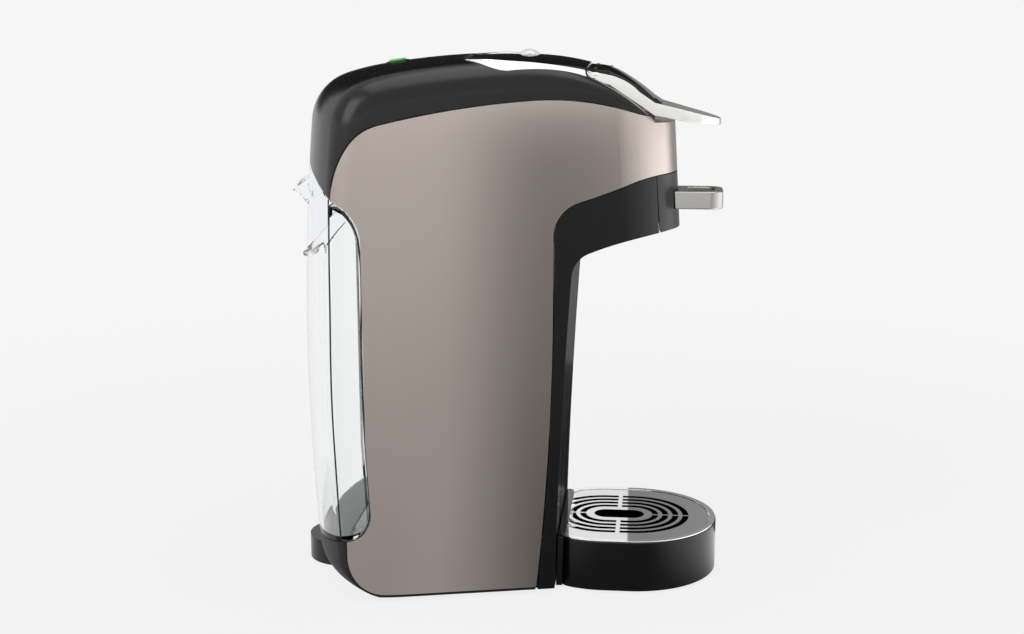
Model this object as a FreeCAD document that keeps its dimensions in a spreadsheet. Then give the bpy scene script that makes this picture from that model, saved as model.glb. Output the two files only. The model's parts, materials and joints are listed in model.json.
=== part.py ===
"""A pod coffee machine: a tapered moulded body with a clear rear tank, a drawer for the pod,
a clamping lever on top and a drip tray that slides up and down the column.

+X is the front, where the cup stands, +Z is up, and the origin is on the table under the middle.
Lengths are in millimetres.
"""
import FreeCAD, Part
import math
import os
import re

import Sketcher
from FreeCAD import Placement, Rotation, Vector

SIZES = {
    # outer form: plan, seen from above
    "wide_half": 80.0, "shoulder_x": -83.6, "shoulder_r": 75.0, "nose_r": 43.0, "nose_x": 64.45,
    "lean": 10.05, "loft_low": -1.0, "loft_top": 322.0, "plan_rear": -150.0,
    # outer form: the turned back and the crowned top
    "barrel_x": 2.0, "crown_z": 319.4, "crown_r": 467.0, "crown_rim": 80.0, "crown_half": 75.0,
    "haunch_r": 99.0, "haunch_z": 307.8, "back_r": 119.8, "back_z": 281.8, "heel_r": 121.0,
    "heel_z": 20.5, "sole_r": 107.0, "sole_round": 20.8, "root_r": 118.8, "root_z": -2.0, "base_z": 2.5,
    "fall_r": 120.0, "fall_angle": 58.0,
    # outer form: column, chin and nose deck
    "column_low": 33.2, "column_high": 41.7, "column_top": 193.0, "column_bow": 3800.0, "neck_x": 51.0,
    "neck_z": 205.9, "chin_x": 98.0, "chin_z": 217.2, "chin_bow": 184.0, "deck_x": 88.0,
    "deck_z": 281.0, "rib_z": 268.0, "deck_end_x": 125.0, "deck_end_z": 278.0, "wall": 2.4, "seam": 0.5,
    "shoulder_round": 18.0, "nose_round": 2.0, "deck_draw": 2.0, "sole_draw": 5.0,
    # split lines on the sides: brow over the metal, cheek under it, window at the tank
    "brow_tip_x": -94.5, "brow_tip_z": 238.5, "brow_bend_x": -82.0, "brow_bend_z": 271.5,
    "brow_r": 59.0, "brow_rear_x": -66.0, "brow_rear_z": 281.8, "brow_top_x": 17.5, "brow_top_z": 294.6,
    "brow_front_x": 79.6, "brow_front_z": 286.0, "brow_end_z": 279.1, "reach": 108.0, "cheek_z": 251.2,
    "cheek_front_x": 96.0, "cheek_front_z": 250.8, "cheek_mid_x": 75.4, "cheek_mid_z": 246.5,
    "cheek_rear_x": 45.7, "cheek_rear_z": 236.1, "column_side_x": 31.2, "column_side_z": 216.5,
    "column_side_low_z": 175.0, "column_side_foot": 22.3, "corner_x": -88.5, "corner_r": 22.0,
    "panel_foot_z": 4.0, "sill_z": 35.9, "sill_bend_x": -84.5, "sill_bend_z": 37.4, "jamb_low_x": -73.5,
    "jamb_low_z": 51.0, "jamb_mid_x": -76.1, "jamb_mid_z": 96.0, "jamb_high_x": -76.9,
    "jamb_high_z": 215.0, "head_x": -85.8, "head_z": 234.3, "tail_slope": 0.83, "lip_x": -118.2,
    "lip_z": 26.0, "lip_slope": 0.345,
    # pod drawer
    "pod_x": 61.0, "pod_r": 26.4, "pod_hole_r": 25.0, "pod_seat": 2.5, "holder_half": 27.0,
    "holder_rear": 34.6, "holder_low": 222.0, "holder_high": 249.4, "notch_half": 4.0, "notch_z": 240.0,
    "drawer_seam_x": 89.7, "drawer_seam_low_x": 92.4, "drawer_top": 250.7, "drawer_low": 214.0,
    "slot_half": 26.2, "slot_deep": 51.5, "grip_end": 129.5, "grip_half": 14.7, "grip_low": 228.5,
    "grip_high": 239.2, "grip_corner": 8.0, "loop_near": 108.5, "loop_far": 124.5, "loop_half": 9.6,
    "loop_corner": 5.0,
    # brew head and piercing gear
    "head_half": 31.5, "rail_half": 28.4, "head_rear": 31.0, "head_front": 79.0, "rail_low": 219.5,
    "bridge_low": 268.0, "bridge_high": 272.0, "head_wall": 3.0, "injector_r": 23.0,
    "injector_low": 251.2, "injector_high": 258.0, "stem_r": 5.0, "stem_high": 280.0, "stem_clear": 0.4,
    "needle_r": 1.4, "needle_low": 243.6, "seal_r": 18.0, "seal_thick": 1.2,
    # lever, fixed band and control panel
    "pivot_x": 53.0, "pivot_z": 310.6, "knuckle_r": 4.4, "knuckle_clear": 4.9, "pin_r": 1.6,
    "pin_half": 15.0, "pin_fit": 0.05, "lug_in": 10.6, "lug_out": 13.4, "lug_gap": 0.4,
    "lug_half_x": 2.4, "loop_rear_x": -23.5, "loop_rear_half": 29.0, "loop_wide_x": 8.0,
    "loop_wide_half": 50.0, "loop_front_x": 100.0, "loop_front_half": 21.0, "loop_tip_x": 128.7,
    "loop_bend_x": 113.0, "loop_bend_half": 17.0, "loop_bend_r": 185.0, "loop_tip_r": 21.2,
    "band_width": 4.0, "rail_width": 6.5, "lever_gap": 1.6, "panel_end": 49.4, "insert_end": 92.0,
    "rail_mid_x": 61.7, "rail_mid_z": 308.2, "rail_dip_x": 79.1, "rail_dip_z": 298.2, "rail_deep": 8.0,
    "lever_rise": 3.2, "rail_proud": 0.4, "rail_lift": 2.0, "insert_proud": 2.7, "insert_ease": 1.6,
    "insert_top": 2.3, "tip_back": 17.0, "tip_swell": 3.2, "grip_rear_z": 292.0, "tip_high": 281.2,
    "tip_low": 277.2, "hump_x": 66.6, "hump_z": 309.4, "slope_x": 87.6, "slope_z": 294.9,
    "slope_end_z": 291.4, "band_rear_z": 319.4, "band_mid_z": 316.6, "control_bow": 900.0,
    "control_end_z": 313.3, "control_under": 310.0, "panel_rear_z": 318.3, "panel_top_z": 318.9,
    "crown_axis_z": 69.0, "crown_turn": 60.0, "band_drop": 0.2,
    # buttons
    "start_x": 12.5, "start_r": 6.6, "start_top": 321.9, "start_rim_z": 318.0, "start_low": 309.0,
    "start_clear": 0.35, "power_x": -66.5, "power_r": 7.0, "power_rise": 1.4, "power_deep": 6.0,
    "power_tilt": 8.4,
    # tank
    "tank_front": -60.0, "tank_half": 72.0, "tank_floor": 37.0, "tank_top": 231.0, "tank_wall": 2.4,
    "tank_gap": 0.6, "mouth_low_x": -140.0, "mouth_low_z": 181.2, "mouth_slope": 0.986,
    "flap_front": -96.2, "flap_pin_x": -123.8, "flap_pin_z": 198.1, "flap_pin_r": 0.8,
    "flap_knuckle_r": 1.9, "flap_knuckle_gap": 0.4, "flap_knuckle_in": 6.0, "flap_knuckle_out": 13.0,
    "flap_lip_tip": -130.5, "flap_lip_z": 240.2, "flap_lip_high": 247.0, "flap_lip_low": 231.6,
    "flap_lip_angle": 34.0, "flap_lip_sweep": -14.0, "lip_root": 2.0, "lip_root_out": 3.4,
    "lip_edge": 0.8, "lip_edge_out": 2.4, "head_ease": 2.6, "valve_x": -76.0, "valve_r": 5.0,
    "valve_bore": 3.0, "valve_low": 25.0, "valve_flange_r": 9.0, "valve_flange": 3.0,
    # base, foot and dock
    "floor_high": 6.5, "floor_front": 29.4, "foot_x": -104.0, "foot_r": 24.2, "foot_high": 15.0,
    "pad_r": 7.0, "pad_rear_x": -68.0, "pad_rear_y": 58.0, "pad_front_x": 14.0, "pad_front_y": 38.0,
    "gland_x": -120.0, "gland_z": 6.0, "gland_r": 3.6, "gland_bore": 2.4, "gland_in": 13.0,
    "gland_out": 20.0, "dock_rear": -88.0, "dock_front": -62.0, "dock_half": 55.0, "dock_high": 36.4,
    "socket_r": 7.0, "socket_low": 15.0, "port_r": 2.2, "dock_ring_z": 30.0, "dock_ring_r": 6.7,
    "dock_ring_thick": 1.2,
    # drip tray
    "tray_x": 70.0, "tray_straight": 8.0, "tray_r": 52.5, "tray_rear": 34.8, "tray_corner_x": 42.5,
    "tray_corner_y": 48.7, "tray_rear_half": 38.0, "tray_corner_r": 12.0, "tray_low": 1.2,
    "tray_high": 32.0, "rim_low": 29.8, "rim_set": 0.4, "tray_wall": 2.2, "rim_high": 32.8,
    "rim_inner": 4.0, "ledge": 6.0, "ledge_high": 31.0, "grille_thick": 1.4, "grille_gap": 0.4,
    "slot_first": 14.8, "slot_pitch": 6.3, "slot_wide": 3.8, "slot_centre": 7.6, "bar_wide": 2.6,
    "bar_thin": 1.8, "hook_y": 22.0, "hook_half": 2.5, "hook_low": 14.0, "hook_high": 26.0,
    "tongue_half": 5.0, "tongue_rear": 28.0, "tongue_front": 30.2, "front_half": 38.0, "front_low": 8.0,
    "front_high": 186.0, "guide_half": 3.2, "guide_low": 10.5, "guide_high": 92.0,
    # works inside the column
    "chassis_rear": -58.0, "chassis_front": 27.0, "chassis_half": 44.0, "plate_thick": 2.5,
    "shelf_low": 212.0, "shelf_front": 34.5, "pass_half": 34.0, "pass_high": 60.0, "bracket_half": 8.0,
    "bracket_low": 98.0, "bracket_high": 108.0, "pump_rear": -48.0, "pump_front": 22.0, "pump_z": 32.0,
    "pump_r": 15.0, "coil_rear": -34.0, "coil_front": 2.0, "coil_half": 18.0, "outlet_x": 10.0,
    "outlet_r": 3.5, "outlet_high": 54.0, "mount_long": 9.0, "mount_wide": 24.0, "mount_in": 3.0,
    "boiler_r": 25.0, "boiler_low": 70.0, "boiler_high": 150.0, "boiler_cap_r": 20.0, "boiler_cap": 5.0,
    "meter_x": -40.0, "meter_y": 30.0, "meter_r": 10.0, "meter_high": 22.0, "nozzle_reach": 4.0,
    "hose_r": 3.0, "hose_bend": 20.0, "hose_in_z": 250.0, "suction_z": 16.0, "board_y": 40.0,
    "board_thick": 1.6, "board_front": 8.0, "board_low": 100.0, "board_high": 188.0, "chip_long": 22.0,
    "chip_high": 12.0, "chip_deep": 9.0, "chip_in": 8.0, "chip_top": 24.0, "chip_front": 28.0,
    "chip_mid": 40.0, "keys_rear": -6.0, "keys_front": 38.0, "keys_half": 20.0, "keys_low": 301.5,
    "keys_high": 303.1, "post_r": 3.0, "post_x": 30.0, "post_rear_x": -2.0, "post_y": 14.0,
    "screw_r": 3.2, "screw_high": 1.6, "screw_rear_x": -46.0, "screw_rear_y": 44.0,
    "screw_front_x": -4.0, "screw_front_y": 40.0,
    # reach of the cutting tools beyond what they cut
    "span": 230.0, "past": 9.0, "over": 1.0,
}

doc = FreeCAD.newDocument("pod_coffee_machine")
sheet = doc.addObject("Spreadsheet::Sheet", "dim")
for row, (alias, size) in enumerate(SIZES.items(), start=1):
    sheet.set(f"A{row}", alias)
    sheet.set(f"B{row}", str(size))
    sheet.setAlias(f"B{row}", alias)
doc.recompute()

WORD = re.compile(r"[a-z][a-z_]*")
TOP = Placement()
SIDE = Placement(Vector(), Rotation(Vector(1, 0, 0), 90))
FRONT = Placement(Vector(), Rotation(Vector(1, 1, 1), 120))
BACKWARD = Placement(Vector(), Rotation(Vector(0, 0, 1), 180)) * SIDE
LOOP_SLOPE = "(loop_wide_half - loop_front_half) / (loop_front_x - loop_wide_x)"
NEAR = 0.1
SHARP = 30
nodes = {}


def ref(formula):
    """The formula with each size named as a cell of the sheet."""
    return WORD.sub(lambda word: "dim." + word[0] if word[0] in SIZES else word[0], str(formula))


def val(formula):
    """The formula's value in millimetres or degrees."""
    return float(sheet.evalExpression(ref(formula)))


def bind(thing, **formulas):
    """Bind properties of an object to formulas of sheet cells."""
    for name, formula in formulas.items():
        thing.setExpression(name.replace("__", "."), ref(formula))
    return thing


def place(thing, x="0", y="0", z="0"):
    """Bind where an object stands."""
    return bind(thing, Placement__Base__x=x, Placement__Base__y=y, Placement__Base__z=z)


def datum(sketch, constraint, formula):
    """Add a dimension to a sketch and bind it."""
    index = sketch.addConstraint(constraint)
    sketch.setExpression(f"Constraints[{index}]", ref(formula))


def walk(start, steps):
    """Lines, arcs of a given radius and arcs tangent to what came before, along an outline.

    A positive radius turns left and a negative one right. Each piece comes with whether it turns
    right and with the heading at its end.
    """
    spots = [Vector(val(x), val(y), 0) for x, y in [start] + [step[1:3] for step in steps]]
    heading = None
    for step, here, there in zip(steps, spots, spots[1:]):
        chord = there - here
        if step[0] == "line":
            heading = Vector(chord).normalize()
            yield Part.LineSegment(here, there), False, heading
            continue
        if step[0] == "arc":
            radius = val(step[3])
            across = Vector(-chord.y, chord.x, 0).normalize()
            rise = math.sqrt(max(radius * radius - chord.dot(chord) / 4, 0))
            centre = (here + there) * 0.5 + across * math.copysign(rise, radius)
        else:
            across = Vector(-heading.y, heading.x, 0)
            radius = chord.dot(chord) / (2 * chord.dot(across))
            centre = here + across * radius
        middle = centre + ((here + there) * 0.5 - centre).normalize() * abs(radius)
        left = radius > 0
        ends = (here, there) if left else (there, here)
        spoke = there - centre
        heading = Vector(-spoke.y, spoke.x, 0).normalize() * (1 if left else -1)
        yield Part.Arc(ends[0], middle, ends[1]), not left, heading


def drawn_in(start, steps, inset):
    """The steps of a smooth outline moved to its right by an inset."""
    moved = []
    for step, (piece, right, heading) in zip(steps, walk(start, steps)):
        spot = (f"{step[1]} + ({inset}) * {heading.y:.9f}", f"{step[2]} - ({inset}) * {heading.x:.9f}")
        moved.append((step[0], *spot, *[f"{size} + ({inset})" for size in step[3:]]))
    return moved


def trace(sketch, start, steps):
    """Draw a closed outline. The last step ends at the start."""
    corners = [start] + [step[1:3] for step in steps]
    drawn = []
    for piece, right, heading in walk(start, steps):
        drawn.append((sketch.addGeometry(piece, False), *((2, 1) if right else (1, 2))))
    for number, (piece, first, last) in enumerate(drawn):
        after = (number + 1) % len(drawn)
        kind = "Tangent" if steps[after][0] == "smooth" else "Coincident"
        sketch.addConstraint(Sketcher.Constraint(kind, piece, last, drawn[after][0], drawn[after][1]))
        x, y = corners[number + 1]
        datum(sketch, Sketcher.Constraint("DistanceX", -1, 1, piece, last, val(x)), x)
        datum(sketch, Sketcher.Constraint("DistanceY", -1, 1, piece, last, val(y)), y)
        if steps[number][0] == "arc":
            radius = steps[number][3]
            datum(sketch, Sketcher.Constraint("Radius", piece, abs(val(radius))), f"abs({radius})")
    return sketch


def sketch_on(name, plane, start, steps):
    """A sketch of its own on a plane."""
    sketch = doc.addObject("Sketcher::SketchObject", name)
    sketch.Placement = plane
    return trace(sketch, start, steps)


def side_prism(name, start, steps):
    """A solid with an outline in side view, right across the machine."""
    solid = doc.addObject("Part::Extrusion", name)
    solid.Base = sketch_on(name + "_outline", SIDE, start, steps)
    solid.DirMode = "Normal"
    solid.Symmetric = True
    solid.Solid = True
    return bind(solid, LengthFwd="span")


def plan_prism(name, start, steps, low, high):
    """A solid with an outline in plan between two heights."""
    outline = sketch_on(name + "_outline", TOP, start, steps)
    place(outline, z=low)
    solid = doc.addObject("Part::Extrusion", name)
    solid.Base = outline
    solid.DirMode = "Normal"
    solid.Solid = True
    return bind(solid, LengthFwd=f"{high} - ({low})")


def turned(name, plane, start, steps, axis, base, angle):
    """A solid turned about an axis through a point, half of the angle each way."""
    solid = doc.addObject("Part::Revolution", name)
    solid.Source = sketch_on(name + "_outline", plane, start, steps)
    place(solid.Source, x=base[0])
    solid.Axis = axis
    solid.Solid = True
    return bind(solid, Base__x=base[0], Base__z=base[1], Angle=angle)


def box(name, x, y, z):
    """A block between two formulas on each axis."""
    solid = doc.addObject("Part::Box", name)
    bind(solid, Length=f"{x[1]} - ({x[0]})", Width=f"{y[1]} - ({y[0]})", Height=f"{z[1]} - ({z[0]})")
    return place(solid, x[0], y[0], z[0])


def rod(name, radius, length, x="0", y="0", z="0", along="z"):
    """A cylinder from a point along an axis."""
    solid = doc.addObject("Part::Cylinder", name)
    turn = {"x": Rotation(Vector(0, 1, 0), 90), "y": Rotation(Vector(1, 0, 0), -90), "z": Rotation()}
    solid.Placement = Placement(Vector(), turn[along])
    bind(solid, Radius=radius, Height=length)
    return place(solid, x, y, z)


def cut(name, base, *tools):
    """What is left of a solid after others are taken out of it."""
    solid = doc.addObject("Part::Cut", name)
    solid.Base = base
    solid.Tool = tools[0] if len(tools) == 1 else fuse(name + "_tools", *tools)
    return solid


def fuse(name, *parts):
    """Solids joined into one."""
    solid = doc.addObject("Part::MultiFuse", name)
    solid.Shapes = list(parts)
    solid.Refine = False
    return solid


def common(name, *parts):
    """What solids share."""
    solid = doc.addObject("Part::MultiCommon", name)
    solid.Shapes = list(parts)
    return solid


def group(name, *parts):
    """Separate solids kept together as one node."""
    solid = doc.addObject("Part::Compound", name)
    solid.Links = list(parts)
    return solid


def rounded(name, base, wanted, radius):
    """A solid with its wanted edges rounded; radius gives the size at a point."""
    doc.recompute()
    solid = doc.addObject("Part::Fillet", name)
    solid.Base = base
    picked = []
    for number, edge in enumerate(base.Shape.Edges, start=1):
        if wanted(base.Shape, edge):
            ends = [edge.valueAt(edge.FirstParameter), edge.valueAt(edge.LastParameter)]
            picked.append((number, radius(ends[0]), radius(ends[1])))
    solid.Edges = picked
    return solid


def node(name, thing):
    """Name a finished piece."""
    thing.Label = name
    nodes[name] = thing
    return thing


def middle_of(edge):
    return edge.valueAt((edge.FirstParameter + edge.LastParameter) / 2)


def crease(shape, edge):
    """The angle between the two faces at an edge, in degrees."""
    spot = middle_of(edge)
    sides = shape.ancestorsOfType(edge, Part.Face)
    if len(sides) != 2:
        return 0.0
    normals = [face.normalAt(*face.Surface.parameter(spot)) for face in sides]
    return math.degrees(normals[0].getAngle(normals[1]))


def plan_outline(name, height, shift, inset):
    """The plan, leaning back with height: round nose, straight sides, shoulders turning parallel."""
    centre_x = val(f"nose_x + {shift}")
    nose = val(f"nose_r - ({inset})")
    back_x = val(f"shoulder_x + {shift}")
    back = val(f"shoulder_r - ({inset})")
    back_y = val("wide_half - shoulder_r")
    apart = math.hypot(centre_x - back_x, back_y)
    slant = -math.asin((back - nose) / apart) - math.atan2(back_y, centre_x - back_x)
    out = Vector(-math.sin(slant), math.cos(slant), 0)
    half = val(f"wide_half - ({inset})")
    rear = val("plan_rear")
    left = [Vector(centre_x, 0, 0) + out * nose, Vector(back_x, back_y, 0) + out * back,
            Vector(back_x, half, 0), Vector(rear, half, 0)]
    right = [Vector(spot.x, -spot.y, 0) for spot in reversed(left)]
    spots = left + right
    sketch = doc.addObject("Sketcher::SketchObject", name)
    place(sketch, z=height)
    bulge = math.radians(45) + slant / 2
    shoulder = Vector(math.cos(bulge + math.pi / 4), math.sin(bulge + math.pi / 4), 0) * back
    bends = {1: Vector(back_x, back_y, 0) + shoulder,
             5: Vector(back_x, -back_y, 0) + Vector(shoulder.x, -shoulder.y, 0),
             7: Vector(centre_x + nose, 0, 0)}
    drawn = []
    for number, here in enumerate(spots):
        there = spots[(number + 1) % len(spots)]
        shape = Part.Arc(here, bends[number], there) if number in bends else Part.LineSegment(here, there)
        drawn.append(sketch.addGeometry(shape, False))
    ends = {number: (1, 2) for number in drawn}
    square = (2, 3, 4)
    for number in drawn:
        after = (number + 1) % len(drawn)
        kind = "Coincident" if number in (2, 3) else "Tangent"
        sketch.addConstraint(Sketcher.Constraint(kind, number, ends[number][1], after, ends[after][0]))
    for number in square:
        sketch.addConstraint(Sketcher.Constraint("Vertical" if number == 3 else "Horizontal", number))
    datum(sketch, Sketcher.Constraint("DistanceX", -1, 1, 7, 3, centre_x), f"nose_x + {shift}")
    sketch.addConstraint(Sketcher.Constraint("PointOnObject", 7, 3, -1))
    datum(sketch, Sketcher.Constraint("Radius", 7, nose), f"nose_r - ({inset})")
    for number in (1, 5):
        datum(sketch, Sketcher.Constraint("DistanceX", -1, 1, number, 3, back_x), f"shoulder_x + {shift}")
        datum(sketch, Sketcher.Constraint("Radius", number, back), f"shoulder_r - ({inset})")
    datum(sketch, Sketcher.Constraint("DistanceX", -1, 1, 3, 1, rear), "plan_rear")
    datum(sketch, Sketcher.Constraint("DistanceY", -1, 1, 3, 1, half), f"wide_half - ({inset})")
    datum(sketch, Sketcher.Constraint("DistanceY", -1, 1, 4, 1, -half), f"({inset}) - wide_half")
    return sketch


def crown_drop(inset, across):
    """Height of the crowned top at a distance from the middle."""
    arc = f"(crown_r - ({inset}))"
    return f"crown_z - crown_r + sqrt({arc}^2 - ({across})^2)"


def shell_form(name, inset, floor):
    """The whole outer form, drawn in by an inset: tapered plan, turned back, crowned top, column and chin."""
    taper = doc.addObject("Part::Loft", name + "_taper")
    taper.Sections = [plan_outline(name + "_plan_low", "loft_low", "lean", inset),
                      plan_outline(name + "_plan_high", "loft_top", "-lean", inset)]
    taper.Solid = True
    taper.Ruled = True
    spine = [("arc", "crown_rim", crown_drop("0", "crown_rim"), "-crown_r"),
             ("smooth", "haunch_r", "haunch_z"),
             ("smooth", "back_r", "back_z"),
             ("smooth", "heel_r", "heel_z"),
             ("smooth", "root_r", "root_z")]
    back = turned(
        name + "_back", BACKWARD, ("0", f"crown_z - ({inset})"),
        drawn_in(("0", "crown_z"), spine, inset) + [
            ("line", "0", "root_z"),
            ("line", "0", f"crown_z - ({inset})")],
        Vector(0, 0, 1), ("barrel_x", "0"), "180")
    back.Symmetric = True
    edge = crown_drop(inset, "crown_half")
    crown = turned(
        name + "_crown", FRONT, ("-crown_half", edge),
        [("line", "-crown_half", "neck_z"),
         ("line", "crown_half", "neck_z"),
         ("line", "crown_half", edge),
         ("arc", "-crown_half", edge, f"crown_r - ({inset})")],
        Vector(0, 1, 0), ("barrel_x", "crown_z - fall_r"), "fall_angle")
    lower = side_prism(
        name + "_lower", ("barrel_x", floor),
        [("line", f"column_low - ({inset})", floor),
         ("arc", f"column_high - ({inset})", f"column_top + ({inset})", "-column_bow"),
         ("smooth", f"neck_x - ({inset})", f"neck_z + ({inset})"),
         ("arc", "chin_x", f"chin_z + ({inset})", "-chin_bow"),
         ("line", "deck_end_x", f"chin_z + ({inset})"),
         ("line", "deck_end_x", f"deck_end_z - ({inset})"),
         ("line", "deck_x", f"deck_z - deck_draw * ({inset})"),
         ("line", "barrel_x", "rib_z"),
         ("line", "barrel_x", floor)])
    behind = box(name + "_behind_nose", ("plan_rear", "deck_x"), ("-span / 2", "span / 2"),
                 ("root_z", "loft_top"))
    ahead = box(name + "_nose", ("deck_x", "deck_end_x"), ("-span / 2", "span / 2"), ("root_z", "loft_top"))
    sharp = common(name + "_sharp", taper, fuse(name + "_heights", back, crown, lower), behind)

    def along_shoulder(shape, edge):
        spot = middle_of(edge)
        aside = abs(spot.y) > val("loop_front_half")
        high = spot.z > val("brow_bend_z") and spot.x < val("deck_x") - NEAR
        corner = spot.x < val("shoulder_x") and edge.BoundBox.ZMin > val("heel_z") - NEAR
        return aside and (high or corner) and crease(shape, edge) > SHARP

    def size(spot):
        big = val(f"shoulder_round - ({inset})")
        fade = max((spot.x - val("barrel_x")) / val("deck_x - barrel_x"), 0.0)
        return big + fade * (val("nose_round") - big)

    soft = rounded(name + "_soft", sharp, along_shoulder, size)
    nose = common(name + "_nose_part", taper, lower, ahead)
    sole = turned(
        name + "_sole", BACKWARD, ("0", floor),
        [("line", f"sole_r - sole_draw * ({inset})", floor),
         ("arc", f"heel_r - ({inset})", "heel_z", f"sole_round + sole_draw * ({inset})"),
         ("line", "heel_r + brow_r", "loft_top"),
         ("line", "0", "loft_top"),
         ("line", "0", floor)],
        Vector(0, 0, 1), ("barrel_x", "0"), "360")
    return common(name, fuse(name + "_whole", soft, nose), sole), soft


def brow(rise):
    """Split line over the metal side, from the back to the nose."""
    return [("arc", "brow_bend_x", f"brow_bend_z + {rise}", "-brow_r"),
            ("smooth", "brow_rear_x", f"brow_rear_z + {rise}"),
            ("smooth", "brow_top_x", f"brow_top_z + {rise}"),
            ("smooth", "brow_front_x", f"brow_front_z + {rise}"),
            ("line", "reach", f"brow_end_z + {rise}")]


def cheek(shift, foot):
    """Split line under the metal side, from the nose back and down the column to its foot."""
    return [("line", "cheek_front_x", f"cheek_front_z - {shift}"),
            ("smooth", "cheek_mid_x", f"cheek_mid_z - {shift}"),
            ("smooth", "cheek_rear_x", f"cheek_rear_z - {shift}"),
            ("smooth", f"column_side_x + {shift}", "column_side_z"),
            ("line", f"column_side_x + {shift}", "column_side_low_z"),
            ("smooth", f"column_side_foot + {shift}", foot)]


def housing(outer, skin):
    """The moulded skins: two metal sides, the black top, and the black front trim."""
    panel = side_prism(
        "panel_zone", ("brow_tip_x", "brow_tip_z"),
        brow("0") + [("line", "reach", "cheek_z")] + cheek("0", "panel_foot_z") + [
            ("line", "corner_x + corner_r", "panel_foot_z"),
            ("arc", "corner_x", "panel_foot_z + corner_r", "-corner_r"),
            ("line", "corner_x", "sill_z"),
            ("line", "sill_bend_x", "sill_bend_z"),
            ("smooth", "jamb_low_x", "jamb_low_z"),
            ("line", "jamb_mid_x", "jamb_mid_z"),
            ("line", "jamb_high_x", "jamb_high_z"),
            ("smooth", "head_x", "head_z"),
            ("smooth", "brow_tip_x", "brow_tip_z")])
    panels = common("panels", skin, panel)
    near = box("near_half", ("plan_rear", "deck_end_x"), ("-span / 2", "-seam / 4"), ("root_z", "loft_top"))
    far = box("far_half", ("plan_rear", "deck_end_x"), ("seam / 4", "span / 2"), ("root_z", "loft_top"))
    node("right_panel", common("right_panel", panels, near))
    node("left_panel", common("left_panel", panels, far))

    tail_z = "brow_tip_z + seam + (brow_tip_x - plan_rear) * tail_slope"
    top_zone = side_prism(
        "top_zone", ("brow_tip_x", "brow_tip_z + seam"),
        brow("seam") + [("line", "reach", "loft_top + past"),
                        ("line", "plan_rear", "loft_top + past"),
                        ("line", "plan_rear", tail_z),
                        ("line", "brow_tip_x", "brow_tip_z + seam")])
    opening = cut("top_opening",
                  fuse("loop_whole", fixed_loop("loop_hole", "0"), lever_loop("lever_hole", "0")),
                  box("nose_deck", ("deck_x", "deck_end_x + wall"), ("-span / 2", "span / 2"),
                      ("root_z", "loft_top")))
    power_hole = place(rod("power_hole", "power_r + start_clear", "power_deep * 2"), "power_x", "0",
                       crown_drop("0", "power_x - barrel_x") + " - power_deep")
    power_hole.Placement.Rotation = Rotation(Vector(0, 1, 0), -val("power_tilt"))
    node("top_shell", cut("top_shell", common("top_skin", skin, top_zone), opening, power_hole))

    trim_zone = side_prism(
        "trim_zone", ("reach", "cheek_z - seam"),
        cheek("seam", "loft_low") + [("line", "reach", "loft_low"), ("line", "reach", "cheek_z - seam")])
    drawer_cut = side_prism(
        "drawer_cut", ("drawer_seam_x - seam / 2", "drawer_top + wall"),
        [("line", "drawer_seam_low_x - seam / 2", "drawer_low - wall"),
         ("line", "deck_end_x", "drawer_low - wall"),
         ("line", "deck_end_x", "drawer_top + wall"),
         ("line", "drawer_seam_x - seam / 2", "drawer_top + wall")])
    drawer_zone = side_prism(
        "drawer_zone", ("drawer_seam_x + seam / 2", "drawer_top - seam"),
        [("line", "drawer_seam_low_x + seam / 2", "drawer_low"),
         ("line", "deck_end_x", "drawer_low"),
         ("line", "deck_end_x", "drawer_top - seam"),
         ("line", "drawer_seam_x + seam / 2", "drawer_top - seam")])
    front_gap = box("front_gap", ("column_low - past", "column_high + past"), ("-front_half", "front_half"),
                    ("front_low", "front_high"))
    pod_slot = fuse("pod_slot",
                    rod("pod_slot_round", "slot_half", "slot_deep", "pod_x", "0", "neck_z - past"),
                    box("pod_slot_run", ("pod_x", "deck_end_x"), ("-slot_half", "slot_half"),
                        ("neck_z - past", "holder_low - seam")))
    drawer_room = box("drawer_room", ("head_front", "deck_end_x"),
                      ("-holder_half - seam", "holder_half + seam"),
                      ("holder_low - seam", "holder_high + seam"))
    trim = common("trim_skin", skin, trim_zone)
    node("front_trim", cut("front_trim", trim, drawer_cut, front_gap, pod_slot, drawer_room))
    node("holder_front", common("holder_front", skin, trim_zone, drawer_zone))
    guides = [box(f"guide_{side}", ("column_low - past", "column_high + past"),
                  (f"{sign} * hook_y - guide_half", f"{sign} * hook_y + guide_half"),
                  ("guide_low", "guide_high"))
              for side, sign in (("left", "1"), ("right", "-1"))]
    node("column_front", cut("column_front", common("column_front_skin", skin, front_gap), *guides))


def fixed_loop(name, inset):
    """The rear part of the loop on top, in plan."""
    side = f"loop_wide_half - {inset} - (pivot_x + knuckle_r - loop_wide_x) * {LOOP_SLOPE}"
    return plan_prism(
        name, ("pivot_x + knuckle_r", f"-({side})"),
        [("line", "pivot_x + knuckle_r", side),
         ("line", "loop_wide_x", f"loop_wide_half - {inset}"),
         ("smooth", f"loop_rear_x + {inset}", "loop_rear_half"),
         ("line", f"loop_rear_x + {inset}", "-loop_rear_half"),
         ("smooth", "loop_wide_x", f"{inset} - loop_wide_half"),
         ("line", "pivot_x + knuckle_r", f"-({side})")],
        "brow_end_z", "loft_top + past")


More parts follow.
